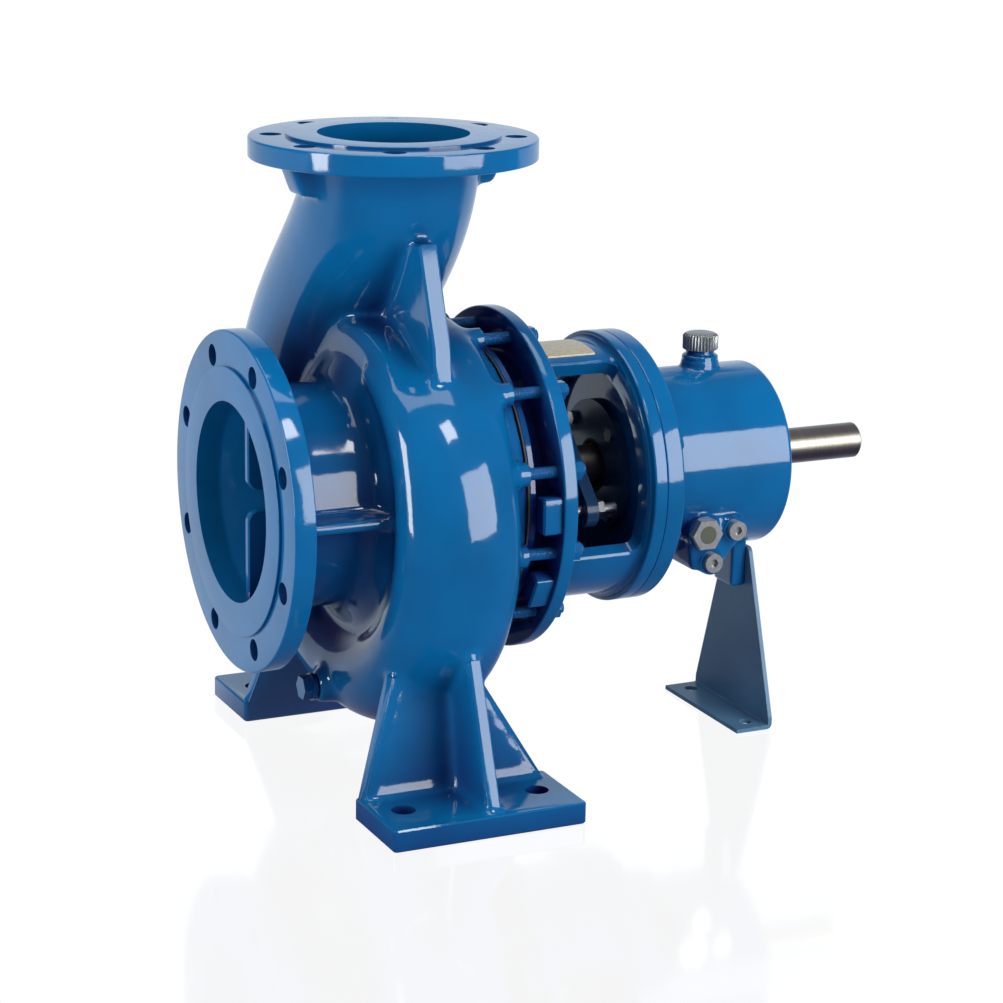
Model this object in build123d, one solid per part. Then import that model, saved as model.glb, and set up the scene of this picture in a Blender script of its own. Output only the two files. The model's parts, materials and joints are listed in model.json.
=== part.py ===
from build123d import *
import os
from math import cos, log, radians, sin, tan

os.makedirs("parts", exist_ok=True)

# Centrifugal pump, single stage, end suction, packed stuffing box, bare shaft end. Sizes in millimetres.
# X runs along the shaft towards the drive end and Z is up.
# The origin is on the floor, under the discharge flange and the shaft.

# Main sizes
shaft_height = 288.0
outlet_height = 357.0
inlet_reach = 172.0
joint_reach = 84.0
lantern_length = 132.2
housing_length = 171.7
shaft_stub = 132.3

# Fits and clearances, all radial or face to face
running_gap = 0.3
journal_gap = 0.05
seat_gap = 0.02

# Pipe flanges
inlet_flange_diameter = 340.0
inlet_bolt_circle = 295.0
inlet_bore = 200.0
inlet_face_diameter = 268.0
inlet_flange_thickness = 25.0
outlet_flange_diameter = 285.0
outlet_bolt_circle = 240.0
outlet_bore = 150.0
outlet_face_diameter = 212.0
outlet_flange_thickness = 24.0
raised_face = 3.0
flange_hole = 22.0
flange_hole_count = 8

# Volute casing
casing_wall = 12.0
volute_base_radius = 138.0
volute_height_at_bottom = 50.0
volute_growth = 0.714
volute_half_width = 47.0
volute_end_half_width = 76.0
volute_width_growth = 1.5
volute_lip = 4.0
volute_first_turn = 30.0
volute_last_turn = 300.0
volute_step = 30.0
drum_radius = 173.0
drum_front = -50.0
drum_rear = 64.0
drum_round = 14.0
collar_radius = 146.0
inner_wall_front = -38.0
eye_radius = 79.0
neck_pull_low = 118.0
neck_pull_high = 104.0
splitter_thickness = 9.0
splitter_front = 17.0
splitter_opening = 20.0
splitter_corner = 12.0
web_thickness = 19.0
web_top = 548.0
web_top_inner = 30.0
web_top_outer = 86.0
web_knee = 123.0
web_knee_height = 453.0
web_root = 128.0
web_root_height = 415.0
web_back = 18.0
inlet_rib_drop = 4.0
inlet_rib_thickness = 12.0
inlet_rib_reach = 30.0
foot_wall_top = 138.0
foot_wall_top_front = -62.0
foot_wall_top_rear = 28.0
foot_rib_top = 160.0
foot_rib_top_reach = 60.0
foot_rib_edge = 3.0
foot_rib_overlap = 20.0
casing_inlet_cut = -100.0
casing_neck_cut = 560.0
casing_foot_cut = 38.0

# Casing feet
foot_half_length = 98.0
foot_outer = 252.0
foot_width = 98.0
foot_thickness = 22.0
foot_hole = 24.0
foot_hole_spacing_x = 142.0
foot_hole_spacing_y = 404.0
foot_wall = 17.0
foot_rib = 15.0

# Casing joint
stud_count = 12
stud_first_angle = 15.0
stud_circle = 316.0
stud_diameter = 12.0
stud_boss_diameter = 24.0
stud_boss_height = 14.0
stud_hold = 12.0
stud_tip = 4.0
stud_clearance = 0.75
nut_width = 18.0
nut_height = 10.8
gasket_thickness = 1.5
cover_flange_thickness = 23.3
cover_spigot_depth = 60.0
cover_wall = 14.0
cover_rim = 7.0
cover_neck_radius = 128.0
jack_lug_width = 37.0
jack_lug_depth = 20.0
jack_lug_angles = (0.0, -30.0, 180.0, 210.0)

# Wear ring and impeller
wear_ring_outer_radius = 92.0
wear_ring_width = 18.0
neck_radius = 84.0
impeller_radius = 130.0
outlet_half_width = 14.0
shroud_thickness = 5.5
vane_count = 6
vane_thickness = 6.0
vane_inlet_radius = 66.0
vane_angle = 24.0
hub_radius = 31.0
hub_rear = 40.0
hub_front = -26.0

# Shaft line
impeller_seat_radius = 17.5
sleeve_seat_radius = 20.0
sleeve_radius = 27.0
sleeve_end = 178.0
bearing_seat_radius = 22.5
middle_shaft_radius = 27.5
stub_radius = 19.0
seal_land_radius = 20.0
stub_relief = 1.5
stub_chamfer = 2.0
thread_radius = 12.0
impeller_nut_width = 36.0
impeller_nut_height = 19.0
washer_thickness = 4.0
washer_radius = 26.0
key_width = 10.0
key_height = 8.0
key_length = 40.0
key_rise = 3.0
keyway_depth = 5.0
stub_keyway_length = 80.0
stub_keyway_margin = 8.0
stub_keyway_turn = 27.0

# Stuffing box
box_radius = 37.0
box_wall = 14.0
box_bottom = 58.0
box_mouth = 150.0
packing_size = 10.0
seal_water_ring_width = 14.0
inner_packing_count = 2
outer_packing_count = 3
gland_nose_depth = 26.0
gland_plate_front = 176.0
gland_plate_thickness = 13.0
gland_stud_reach = 80.0
gland_tilt = -18.0
gland_travel = 12.0
gland_ear_radius = 17.0
gland_ear_thickness = 16.0
throat_gap = 0.6

# Lantern
lantern_disk_radius = 175.0
lantern_disk_thickness = 15.5
lantern_bore_radius = 112.0
cover_register_depth = 9.0
barrel_radius = 131.5
barrel_wall = 15.0
rear_ring_radius = 141.2
rear_ring_thickness = 14.5
window_low_angle = -28.5
window_high_angle = 68.5
window_margin = 3.0
nameplate_front = 156.0
nameplate_length = 53.0
nameplate_angle = 30.0
nameplate_thickness = 1.5

# Bearing housing
housing_radius = 96.5
housing_flange_radius = 141.0
housing_flange_thickness = 20.0
housing_spigot_radius = 104.0
housing_spigot_depth = 6.0
housing_edge_round = 4.0
sump_radius = 82.0
bearing_radius = 50.0
bearing_width = 25.0
race_thickness = 7.0
ball_radius = 8.7
groove_radius = 9.0
ball_count = 8
cage_thickness = 3.0
cage_width = 21.0
front_bearing_x = 264.0
bearing_span = 109.0
bearing_cover_radius = 70.0
bearing_cover_thickness = 8.0
seal_radius = 29.0
seal_width = 7.0
lock_nut_radius = 31.0
lock_nut_width = 10.0
cover_throat = 36.0
cover_lip = 3.0
housing_screw_circle = 240.0
housing_screw_count = 8
screw_head = 7.5
cover_screw_circle = 120.0
cover_screw_count = 4
cover_screw = 8.0
cover_screw_width = 13.0
cover_screw_head = 5.3
cover_screw_depth = 16.0

# Housing fittings
filler_x = 351.0
filler_boss_radius = 20.0
filler_boss_top = 108.0
filler_hole_radius = 11.0
cap_radius = 18.5
cap_height = 25.0
cap_top_height = 3.0
cap_stem = 14.0
cap_grip_count = 30
sight_x = 310.0
fitting_drop = 57.0
sight_boss_radius = 18.0
sight_hex = 30.0
fitting_face = 95.0
plug_radius = 10.0
plug_head = 6.0
plug_boss_radius = 14.0
plug_depth = 12.0
plug_thread_radius = 7.0
plug_socket = 8.0
plug_socket_floor = 2.0
sight_head = 9.0
sight_thread_radius = 11.0
sight_window_radius = 9.5
sight_glass_thickness = 4.0
gauge_plug_x = 347.0
drain_plug_x = 320.0
drain_plug_drop = 89.0

# Support foot
bracket_x = 405.0
bracket_sheet = 4.5
bracket_top_drop = 101.0
bracket_top_width = 48.0
bracket_bottom_width = 160.0
bracket_foot_length = 42.5
bracket_hole = 14.0
bracket_hole_spacing = 120.0
bracket_lug_length = 16.5
bracket_lug_width = 41.0
bracket_lug_drop = 144.4
bracket_lug_root = 30.0
bracket_screw = 12.0
bracket_screw_width = 18.0
bracket_screw_head = 7.5
bracket_screw_drop = 122.0
bracket_bend = 6.0

# Drain plug of the casing
drain_height = 86.0
drain_boss_radius = 18.0
drain_plug_hex = 22.0
drain_plug_head = 14.0
drain_collar = 4.0
drain_front = -84.0
drain_thread_radius = 10.0

# Stations along the shaft that follow from the sizes above
inlet_face = -inlet_reach
inlet_flange_rear = inlet_face + inlet_flange_thickness
cover_front = joint_reach + gasket_thickness
lantern_front = cover_front + cover_flange_thickness
disk_rear = lantern_front + lantern_disk_thickness
lantern_rear = lantern_front + lantern_length
rear_ring_front = lantern_rear - rear_ring_thickness
housing_flange_rear = lantern_rear + housing_flange_thickness
housing_end = lantern_rear + housing_length
shaft_end = housing_end + shaft_stub
stub_start = housing_end + bearing_cover_thickness + stub_relief
outlet_face = shaft_height + outlet_height
eye_wall = inner_wall_front - wear_ring_width
neck_front = eye_wall + 2.0
neck_rear = inner_wall_front + 4.0
thread_front = hub_front - washer_thickness - impeller_nut_height + 2.0
ball_circle_radius = (bearing_radius + bearing_seat_radius) / 2
housing_screw_radius = housing_screw_circle / 2
outlet_flange_under = outlet_face - outlet_flange_thickness
rear_bearing_x = front_bearing_x + bearing_span
stud_radius = stud_circle / 2
lock_nut_end = rear_bearing_x + bearing_width + lock_nut_width
front_cover_face = lantern_rear - housing_spigot_depth - bearing_cover_thickness

SHAFT_AXIS = Axis((0, 0, shaft_height), (1, 0, 0))
UP = (Align.CENTER, Align.CENTER, Align.MIN)


def station(x, y=0.0, z=0.0):
    """Plane square to the shaft at x, offset by y and z, local x along Y and local y up."""
    return Plane(origin=(x, y, shaft_height + z), x_dir=(0, 1, 0), z_dir=(1, 0, 0))


def side_plane(x, y, z):
    """Plane facing the near side, -Y, with local x along X and local y up."""
    return Plane(origin=(x, y, z), x_dir=(1, 0, 0), z_dir=(0, -1, 0))


def floor_plane(x, y, z):
    """Level plane facing up."""
    return Plane(origin=(x, y, z))


def disc(x0, x1, radius, bore=0.0):
    """Disc or ring about the shaft from x0 to x1."""
    shape = station(x0) * Cylinder(radius, x1 - x0, align=UP)
    if bore:
        shape -= station(x0) * Cylinder(bore, x1 - x0, align=UP)
    return shape


def turned(corners, rounds=None):
    """Solid of revolution about the shaft from (x, radius) corners, with a fillet radius for each."""
    if rounds:
        outline = FilletPolyline(*corners, radius=rounds, close=True)
    else:
        outline = Polyline(*corners, close=True)
    return revolve(side_plane(0, 0, shaft_height) * make_face(outline), axis=SHAFT_AXIS)


def around(x, radius, count, first_angle=0.0):
    """Planes square to the shaft, evenly spaced on a circle; angles start at the near side and rise."""
    turns = [radians(first_angle + 360.0 * k / count) for k in range(count)]
    return [station(x, -radius * cos(t), radius * sin(t)) for t in turns]


def drilled(body, planes, radius, depth):
    """Body with one straight hole on each plane."""
    for plane in planes:
        body -= plane * Cylinder(radius, depth, align=UP)
    return body


def hexagon(width, height):
    """Hexagonal prism of a width across flats."""
    return extrude(RegularPolygon(width / 2, 6, major_radius=False), amount=height)


def hex_nut(plane, bore_radius):
    """Nut with its seat on the plane."""
    return plane * (hexagon(nut_width, nut_height) - Cylinder(bore_radius, nut_height, align=UP))


def hex_screw(plane, radius, grip, width, head):
    """Screw with the head's seat on the plane and the shank pointing back into it."""
    shank = Pos(0, 0, -grip) * Cylinder(radius, grip, align=UP)
    return plane * (hexagon(width, head) + shank)


def group(solids):
    """Identical pieces that share one node."""
    return Compound(children=list(solids))


def box_between(x0, x1, y0, y1, z0, z1):
    """Upright block between six faces."""
    corner = (Align.MIN, Align.MIN, Align.MIN)
    return Pos(x0, y0, z0) * Box(x1 - x0, y1 - y0, z1 - z0, align=corner)


def prism_yz(points, x0, x1):
    """Plate square to the shaft with an outline of (y, z) corners above the floor."""
    plane = Plane(origin=(x0, 0, 0), x_dir=(0, 1, 0), z_dir=(1, 0, 0))
    return extrude(plane * make_face(Polyline(*points, close=True)), amount=x1 - x0)


def prism_xz(points, y0, y1):
    """Plate along the shaft with an outline of (x, z) corners above the floor, from y0 down to y1."""
    return extrude(side_plane(0, y0, 0) * make_face(Polyline(*points, close=True)), amount=y0 - y1)


# Volute: a passage that grows with the turn, then a swan neck up to the discharge flange

def volute_half_height(turn):
    """Radial half height of the passage, after that many degrees from the tongue."""
    return volute_height_at_bottom * (turn / 180.0) ** volute_growth


def volute_half_breadth(turn):
    """Half width of the passage along the shaft."""
    gain = (turn / volute_last_turn) ** volute_width_growth
    return volute_half_width + (volute_end_half_width - volute_half_width) * gain


def volute_place(turn):
    """Centre of the passage and its flow direction; the turn runs from the top to the near side and down."""
    centre = volute_base_radius - volute_lip + volute_half_height(turn)
    s, c = sin(radians(turn)), cos(radians(turn))
    return Vector(0, -centre * s, shaft_height + centre * c), Vector(0, -c, -s)


def volute_section(turn, wall):
    """Elliptical section of the spiral."""
    place, flow = volute_place(turn)
    plane = Plane(origin=place, x_dir=(1, 0, 0), z_dir=flow)
    return plane * Ellipse(volute_half_breadth(turn) + wall, volute_half_height(turn) + wall)


def neck_sections(wall):
    """Round sections of the swan neck, on a cubic curve from the last turn of the spiral to the flange."""
    start, flow = volute_place(volute_last_turn)
    end = Vector(0, 0, outlet_face)
    low = start + flow * neck_pull_low
    high = end - Vector(0, 0, neck_pull_high)
    half = outlet_bore / 2 + wall
    sections = []
    for t in (0.25, 0.5, 0.75, 1.0):
        u = 1 - t
        place = start * u**3 + low * (3 * u * u * t) + high * (3 * u * t * t) + end * t**3
        run = (low - start) * (3 * u * u) + (high - low) * (6 * u * t) + (end - high) * (3 * t * t)
        sections.append(Plane(origin=place, x_dir=(1, 0, 0), z_dir=run) * Ellipse(half, half))
    return sections


def volute_tube(wall):
    """Spiral and swan neck as one smooth loft; wall is 0 for the water passage."""
    steps = int(round((volute_last_turn - volute_first_turn) / volute_step))
    turns = [volute_first_turn + volute_step * k for k in range(steps + 1)]
    return loft([volute_section(turn, wall) for turn in turns] + neck_sections(wall))


def casing_foot(side):
    """Foot plate with a wall along the shaft and a rib across it; side is -1 near, +1 far."""
    inner = foot_outer - foot_width
    root = foot_thickness - 1
    plate = box_between(-foot_half_length, foot_half_length, inner, foot_outer, 0, foot_thickness)
    wall_outline = [
        (-foot_half_length, root), (foot_half_length, root),
        (foot_wall_top_rear, foot_wall_top), (foot_wall_top_front, foot_wall_top),
    ]
    rib_outline = [
        (inner, root), (foot_outer - foot_rib_edge, root),
        (foot_outer - foot_rib_top_reach, foot_rib_top), (inner - foot_rib_overlap, foot_rib_top),
    ]
    foot = plate + prism_xz(wall_outline, inner + foot_wall, inner) + prism_yz(rib_outline, 0, foot_rib)
    holes = []
    for x in (-foot_hole_spacing_x / 2, foot_hole_spacing_x / 2):
        holes.append(Pos(x, foot_hole_spacing_y / 2, 0) * Cylinder(foot_hole / 2, foot_thickness, align=UP))
    foot -= holes
    return foot if side > 0 else mirror(foot, about=Plane.XZ)


def inlet_nozzle():
    """Suction flange with raised face, nozzle, front wall, drum and rear collar."""
    flange = disc(inlet_face + raised_face, inlet_flange_rear, inlet_flange_diameter / 2)
    face = disc(inlet_face, inlet_face + raised_face, inlet_face_diameter / 2)
    nozzle_radius = inlet_bore / 2 + casing_wall
    corners = [
        (inlet_flange_rear - 1, 0),
        (inlet_flange_rear - 1, nozzle_radius + 10),
        (inlet_flange_rear + 10, nozzle_radius),
        (drum_front - 18, nozzle_radius),
        (drum_front - 2, volute_base_radius),
        (drum_front, drum_radius),
        (drum_rear, drum_radius),
        (drum_rear, collar_radius),
        (joint_reach, collar_radius),
        (joint_reach, 0),
    ]
    rounds = [0, 0, 12, 18, 14, drum_round, drum_round, 3, 1, 0]
    return [turned(corners, rounds), flange, face]


def casing_water_space():
    """Suction passage, wear ring seat, wheel chamber and cover bore in one turned cut."""
    seat = wear_ring_outer_radius + seat_gap
    return turned([
        (inlet_face, 0),
        (inlet_face, inlet_bore / 2),
        (inlet_flange_rear, inlet_bore / 2),
        (eye_wall - 18, eye_radius),
        (eye_wall, eye_radius),
        (eye_wall, seat),
        (inner_wall_front, seat),
        (inner_wall_front, volute_base_radius),
        (joint_reach, volute_base_radius),
        (joint_reach, 0),
    ])


def splitter_ribs():
    """Two ribs in the suction passage that stop pre-swirl, with rounded inner corners."""
    front = inlet_face + splitter_front
    rear = eye_wall - 14
    radius = inlet_bore / 2 + 2
    half_opening = splitter_opening / 2
    ribs = []
    for sign in (1, -1):
        outline = FilletPolyline(
            (front, sign * radius), (front, sign * half_opening),
            (rear, sign * half_opening), (rear, sign * radius),
            radius=[0, splitter_corner, splitter_corner, 0], close=True,
        )
        plane = side_plane(0, splitter_thickness / 2, shaft_height)
        ribs.append(extrude(plane * make_face(outline), amount=splitter_thickness))
    return ribs


def outlet_lug(sign, width, depth):
    """Tapered lug under the rim of the discharge flange, on the shaft's line."""
    top = outlet_flange_under + 1
    outer = outlet_flange_diameter / 2 - 25
    outline = make_face(Polyline(
        (sign * (outer - 50), top), (sign * outer, top), (sign * (outer - 14), top - depth),
        (sign * (outer - 50), top - depth), close=True,
    ))
    return extrude(side_plane(0, width / 2, 0) * outline, amount=width)


def make_volute_casing():
    top = floor_plane(0, 0, outlet_flange_under)
    flange_body = outlet_flange_thickness - raised_face
    web_outline = [
        (-web_top_inner, web_top), (-web_top_outer, web_top), (-web_knee, web_knee_height),
        (-web_root, web_root_height), (web_back, web_root_height + 25), (web_back, web_top - 28),
    ]
    rib_start = inlet_flange_rear - 1
    rib_low, rib_high = shaft_height - inlet_rib_drop, shaft_height - inlet_rib_drop + inlet_rib_thickness
    rib_outline = [
        (rib_start, rib_low), (rib_start, rib_high), (drum_front, rib_high), (drum_front, rib_low),
    ]
    nozzle_radius = inlet_bore / 2 + casing_wall
    drain = station(drain_front, 0, drain_height - shaft_height)
    adds = inlet_nozzle()[1:]
    adds.append(top * Cylinder(outlet_flange_diameter / 2, flange_body, align=UP))
    adds.append(top * Cylinder(outlet_face_diameter / 2, outlet_flange_thickness, align=UP))
    adds.append(prism_yz(web_outline, -web_thickness / 2, web_thickness / 2))
    adds.append(outlet_lug(-1, 37, 34))
    adds.append(outlet_lug(1, 32, 30))
    adds.append(prism_xz(rib_outline, 4 - nozzle_radius, -nozzle_radius - inlet_rib_reach))
    adds += [casing_foot(side) for side in (-1, 1)]
    for plane in around(drum_rear - drum_round, stud_radius, stud_count, stud_first_angle):
        adds.append(plane * Cylinder(stud_boss_diameter / 2, stud_boss_height + drum_round, align=UP))
    adds.append(drain * Cylinder(drain_boss_radius, -drain_front - 20, align=UP))
    body = inlet_nozzle()[0] + volute_tube(casing_wall) + adds
    body = body - casing_water_space() - volute_tube(0.0)
    cuts = []
    cuts.append(drain * Cylinder(drain_thread_radius + seat_gap, -drain_front, align=UP))
    for plane in around(inlet_face, inlet_bolt_circle / 2, flange_hole_count, 180 / flange_hole_count):
        cuts.append(plane * Cylinder(flange_hole / 2, inlet_flange_thickness, align=UP))
    first_hole = 180 / flange_hole_count
    for place in PolarLocations(outlet_bolt_circle / 2, flange_hole_count, start_angle=first_hole):
        cuts.append(top * place * Cylinder(flange_hole / 2, outlet_flange_thickness, align=UP))
    for plane in around(drum_rear - stud_hold, stud_radius, stud_count, stud_first_angle):
        hole = Cylinder(stud_diameter / 2 + seat_gap, stud_boss_height + stud_hold, align=UP)
        cuts.append(plane * hole)
    body -= cuts
    return body + splitter_ribs()


def split_casing(casing):
    """The one casting as simple bodies that meet at flat cuts: flanges, necks, feet and volute."""
    far = outlet_face * 2

    def between(x0, x1, z0, z1):
        return casing & box_between(x0, x1, -far, far, z0, z1)

    return {
        "casing_suction_flange": between(-far, inlet_flange_rear, casing_foot_cut, casing_neck_cut),
        "casing_suction_neck": between(inlet_flange_rear, casing_inlet_cut, casing_foot_cut, casing_neck_cut),
        "casing_discharge_neck": between(-far, far, casing_neck_cut, outlet_flange_under),
        "casing_discharge_flange": between(-far, far, outlet_flange_under, far),
        "casing_feet": between(-far, far, -far, casing_foot_cut),
        "volute_casing": between(casing_inlet_cut, far, casing_foot_cut, casing_neck_cut),
    }


# Pieces of the casing joint

def make_casing_studs():
    length = disk_rear + nut_height + stud_tip - (drum_rear - stud_hold)
    planes = around(drum_rear - stud_hold, stud_radius, stud_count, stud_first_angle)
    return group(plane * Cylinder(stud_diameter / 2, length, align=UP) for plane in planes)


def make_casing_nuts():
    planes = around(disk_rear, stud_radius, stud_count, stud_first_angle)
    return group(hex_nut(plane, stud_diameter / 2 + seat_gap) for plane in planes)


def make_cover_gasket():
    return disc(joint_reach, cover_front, collar_radius - 1, volute_base_radius + 0.5)


def oval_plate(x, thickness):
    """Oval plate with two ears for the gland studs, square to the shaft."""
    ear = gland_stud_reach
    edges = Circle(box_radius + box_wall).edges()
    for sign in (1, -1):
        edges += (Pos(sign * ear, 0) * Circle(gland_ear_radius)).edges()
    return extrude(station(x) * Rot(0, 0, -gland_tilt) * make_hull(edges), amount=thickness)


def gland_planes(x):
    """Planes of the two gland studs."""
    return around(x, gland_stud_reach, 2, gland_tilt)


def make_casing_cover():
    """Cover behind the wheel with the stuffing box, open to the lantern."""
    outer = volute_base_radius - seat_gap
    face = cover_front - cover_spigot_depth
    box_outer = box_radius + box_wall
    hub_room = hub_radius + 2
    corners = [
        (hub_rear + 2, sleeve_radius + throat_gap),
        (hub_rear + 2, hub_room),
        (face, hub_room),
        (face, outer),
        (cover_front, outer),
        (cover_front, collar_radius),
        (cover_front + cover_rim, collar_radius),
        (cover_front + cover_rim, cover_neck_radius),
        (lantern_front, cover_neck_radius),
        (lantern_front, lantern_bore_radius - seat_gap),
        (lantern_front + cover_register_depth, lantern_bore_radius - seat_gap),
        (lantern_front + cover_register_depth, lantern_bore_radius - 14),
        (face + cover_wall + 8, lantern_bore_radius - 20),
        (face + cover_wall, lantern_bore_radius - 28),
        (face + cover_wall, box_outer),
        (box_mouth, box_outer),
        (box_mouth, box_radius),
        (box_bottom, box_radius),
        (box_bottom, sleeve_radius + throat_gap),
    ]
    rounds = [0, 0, 1, 1, 0, 1, 1, 3, 0, 0, 1, 3, 10, 6, 8, 0, 1, 0, 0]
    cover = turned(corners, rounds)
    ears = oval_plate(box_mouth - gland_ear_thickness, gland_ear_thickness)
    ears -= disc(box_mouth - gland_ear_thickness, box_mouth, box_radius + 2)
    cover += ears
    depth = gland_ear_thickness
    return drilled(cover, gland_planes(box_mouth - depth), stud_diameter / 2 + seat_gap, depth)


def make_gland_follower():
    """Gland with a nose that presses the packing."""
    bore = sleeve_radius + throat_gap
    nose = disc(gland_plate_front - gland_nose_depth - (gland_plate_front - box_mouth), gland_plate_front,
                box_radius - running_gap, bore)
    plate = oval_plate(gland_plate_front, gland_plate_thickness)
    plate -= disc(gland_plate_front, gland_plate_front + gland_plate_thickness, bore)
    planes = gland_planes(gland_plate_front)
    return drilled(nose + plate, planes, stud_diameter / 2 + running_gap, gland_plate_thickness)


def make_gland_studs():
    start = box_mouth - gland_ear_thickness
    end = gland_plate_front + gland_plate_thickness + nut_height + gland_travel + 3
    return group(plane * Cylinder(stud_diameter / 2, end - start, align=UP) for plane in gland_planes(start))


def make_gland_nuts():
    planes = gland_planes(gland_plate_front + gland_plate_thickness)
    return group(hex_nut(plane, stud_diameter / 2 + running_gap) for plane in planes)


def packing_starts():
    """Front faces of the inner rings, the water ring and the outer rings."""
    inner = [box_bottom + packing_size * k for k in range(inner_packing_count)]
    water = box_bottom + packing_size * inner_packing_count
    first_outer = water + seal_water_ring_width
    outer = [first_outer + packing_size * k for k in range(outer_packing_count)]
    return inner, water, outer


def make_packing_rings():
    inner, water, outer = packing_starts()
    bore = sleeve_radius + journal_gap
    return group(disc(x, x + packing_size, box_radius - seat_gap, bore) for x in inner + outer)


def make_seal_water_ring():
    """Ring of an H section with holes that lets sealing water to the sleeve."""
    inner, start, outer = packing_starts()
    end = start + seal_water_ring_width
    ring = disc(start, end, box_radius - seat_gap, sleeve_radius + running_gap)
    groove = disc(start + 4, end - 4, box_radius, box_radius - 3)
    bore = disc(start + 4, end - 4, sleeve_radius + 3, sleeve_radius)
    ring = ring - groove - bore
    middle = (start + end) / 2
    for k in range(4):
        ring -= station(middle) * Rot(0, 0, 90 * k) * Rot(0, 90, 0) * Cylinder(2, box_radius, align=UP)
    return ring


# Wear ring and wheel

def make_wear_ring():
    return disc(eye_wall, inner_wall_front, wear_ring_outer_radius, neck_radius + running_gap)


def wheel_passage():
    """Water space between the two shrouds, open at the eye and at the rim."""
    rim = impeller_radius + 2
    eye = neck_radius - shroud_thickness
    corners = [
        (neck_front - 1, 0),
        (neck_front - 1, eye),
        (neck_front + 14, eye),
        (-outlet_half_width - 9, eye + 20),
        (-outlet_half_width, rim),
        (outlet_half_width, rim),
        (outlet_half_width - 3, hub_radius + 30),
        (-4, hub_radius + 6),
        (hub_front, hub_radius - 4),
        (hub_front, 0),
    ]
    rounds = [0, 0, 10, 26, 0, 0, 26, 20, 0, 0]
    return turned(corners, rounds)


def vane_outline():
    """Vane in a view along the shaft: a logarithmic spiral of even thickness that trails the rotation."""
    steps = 6
    tips = ([], [])
    for k in range(steps + 1):
        radius = vane_inlet_radius + (impeller_radius + 1 - vane_inlet_radius) * k / steps
        angle = -log(radius / vane_inlet_radius) / tan(radians(vane_angle))
        half = vane_thickness / 2 / sin(radians(vane_angle)) / radius
        for side, tip in zip((1, -1), tips):
            tip.append((radius * cos(angle + side * half), radius * sin(angle + side * half)))
    sides = [Spline(*tips[0]), Spline(*tips[1])]
    ends = [Line(tips[0][k], tips[1][k]) for k in (0, -1)]
    return make_face(sides + ends)


def make_impeller():
    """Closed wheel: two shrouds, a hub with a keyway and backward curved vanes."""
    rear = outlet_half_width + shroud_thickness
    corners = [
        (neck_front, 0),
        (neck_front, neck_radius),
        (neck_rear, neck_radius),
        (-outlet_half_width - shroud_thickness, impeller_radius),
        (rear, impeller_radius),
        (rear, hub_radius + 16),
        (rear + 4, hub_radius),
        (hub_rear, hub_radius),
        (hub_rear, 0),
    ]
    passage = wheel_passage()
    wheel = turned(corners, [0, 0, 6, 0, 0, 4, 4, 1, 0]) - passage
    depth = outlet_half_width + 8 - neck_front
    rim = disc(neck_front, outlet_half_width + 8, impeller_radius)
    blade = extrude(station(neck_front + 6) * vane_outline(), amount=depth)
    blades = [blade.rotate(SHAFT_AXIS, 360.0 * k / vane_count) for k in range(vane_count)]
    vanes = blades[0] + blades[1:]
    wheel += vanes & passage & rim
    bore = disc(hub_front, hub_rear, impeller_seat_radius + seat_gap)
    slot_top = impeller_seat_radius + key_rise + seat_gap
    slot = box_between(hub_front, hub_rear, -key_width / 2 - seat_gap, key_width / 2 + seat_gap,
                       shaft_height, shaft_height + slot_top)
    return wheel - bore - slot


def key_span():
    middle = (hub_front + hub_rear) / 2
    return middle - key_length / 2, middle + key_length / 2


def make_impeller_key():
    x0, x1 = key_span()
    top = shaft_height + impeller_seat_radius + key_rise
    return box_between(x0, x1, -key_width / 2, key_width / 2, top - key_height, top)


def make_impeller_washer():
    return disc(hub_front - washer_thickness, hub_front, washer_radius, thread_radius + seat_gap)


def make_impeller_nut():
    """Cap nut with a domed nose towards the inlet."""
    seat = hub_front - washer_thickness
    outward = Plane(origin=(seat, 0, shaft_height), x_dir=(0, -1, 0), z_dir=(-1, 0, 0))
    nut = outward * hexagon(impeller_nut_width, impeller_nut_height)
    dome = turned([
        (seat - impeller_nut_height + 1, 0),
        (seat - impeller_nut_height + 1, impeller_nut_width / 2 - 1),
        (seat - impeller_nut_height - 9, impeller_nut_width / 2 - 5),
        (seat - impeller_nut_height - 14, 0),
    ], [0, 1, 8, 0])
    return nut + dome - disc(thread_front, seat, thread_radius + seat_gap)


# Shaft line

def make_shaft():
    """Stepped shaft, from the wheel's thread to the coupling stub."""
    steps = [
        (thread_front, thread_radius),
        (hub_front + 1, impeller_seat_radius),
        (hub_rear, sleeve_seat_radius),
        (sleeve_end, bearing_seat_radius),
        (front_bearing_x + bearing_width, middle_shaft_radius),
        (rear_bearing_x, bearing_seat_radius),
        (lock_nut_end + 2, seal_land_radius),
        (stub_start, stub_radius),
    ]
    corners = [(thread_front, 0)]
    for index, (x, radius) in enumerate(steps):
        end = steps[index + 1][0] if index + 1 < len(steps) else shaft_end
        corners += [(x, radius), (end, radius)]
    corners[-1] = (shaft_end - stub_chamfer, stub_radius)
    corners += [(shaft_end, stub_radius - stub_chamfer), (shaft_end, 0)]
    corners[1] = (thread_front, thread_radius - 1)
    corners.insert(2, (thread_front + 1, thread_radius))
    shaft = turned(corners)
    x0, x1 = key_span()
    top = shaft_height + impeller_seat_radius
    key_seat = box_between(x0, x1, -key_width / 2, key_width / 2, top - keyway_depth, top + 1)
    slot_middle = shaft_end - stub_keyway_length / 2 - stub_keyway_margin
    slot_floor = (slot_middle, stub_radius - keyway_depth, shaft_height)
    stub_plane = Plane(origin=slot_floor, x_dir=(1, 0, 0), z_dir=(0, 1, 0))
    stub_slot = extrude(stub_plane * SlotOverall(stub_keyway_length, key_width), amount=keyway_depth + 1)
    return shaft - [key_seat, stub_slot.rotate(SHAFT_AXIS, stub_keyway_turn)]


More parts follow.
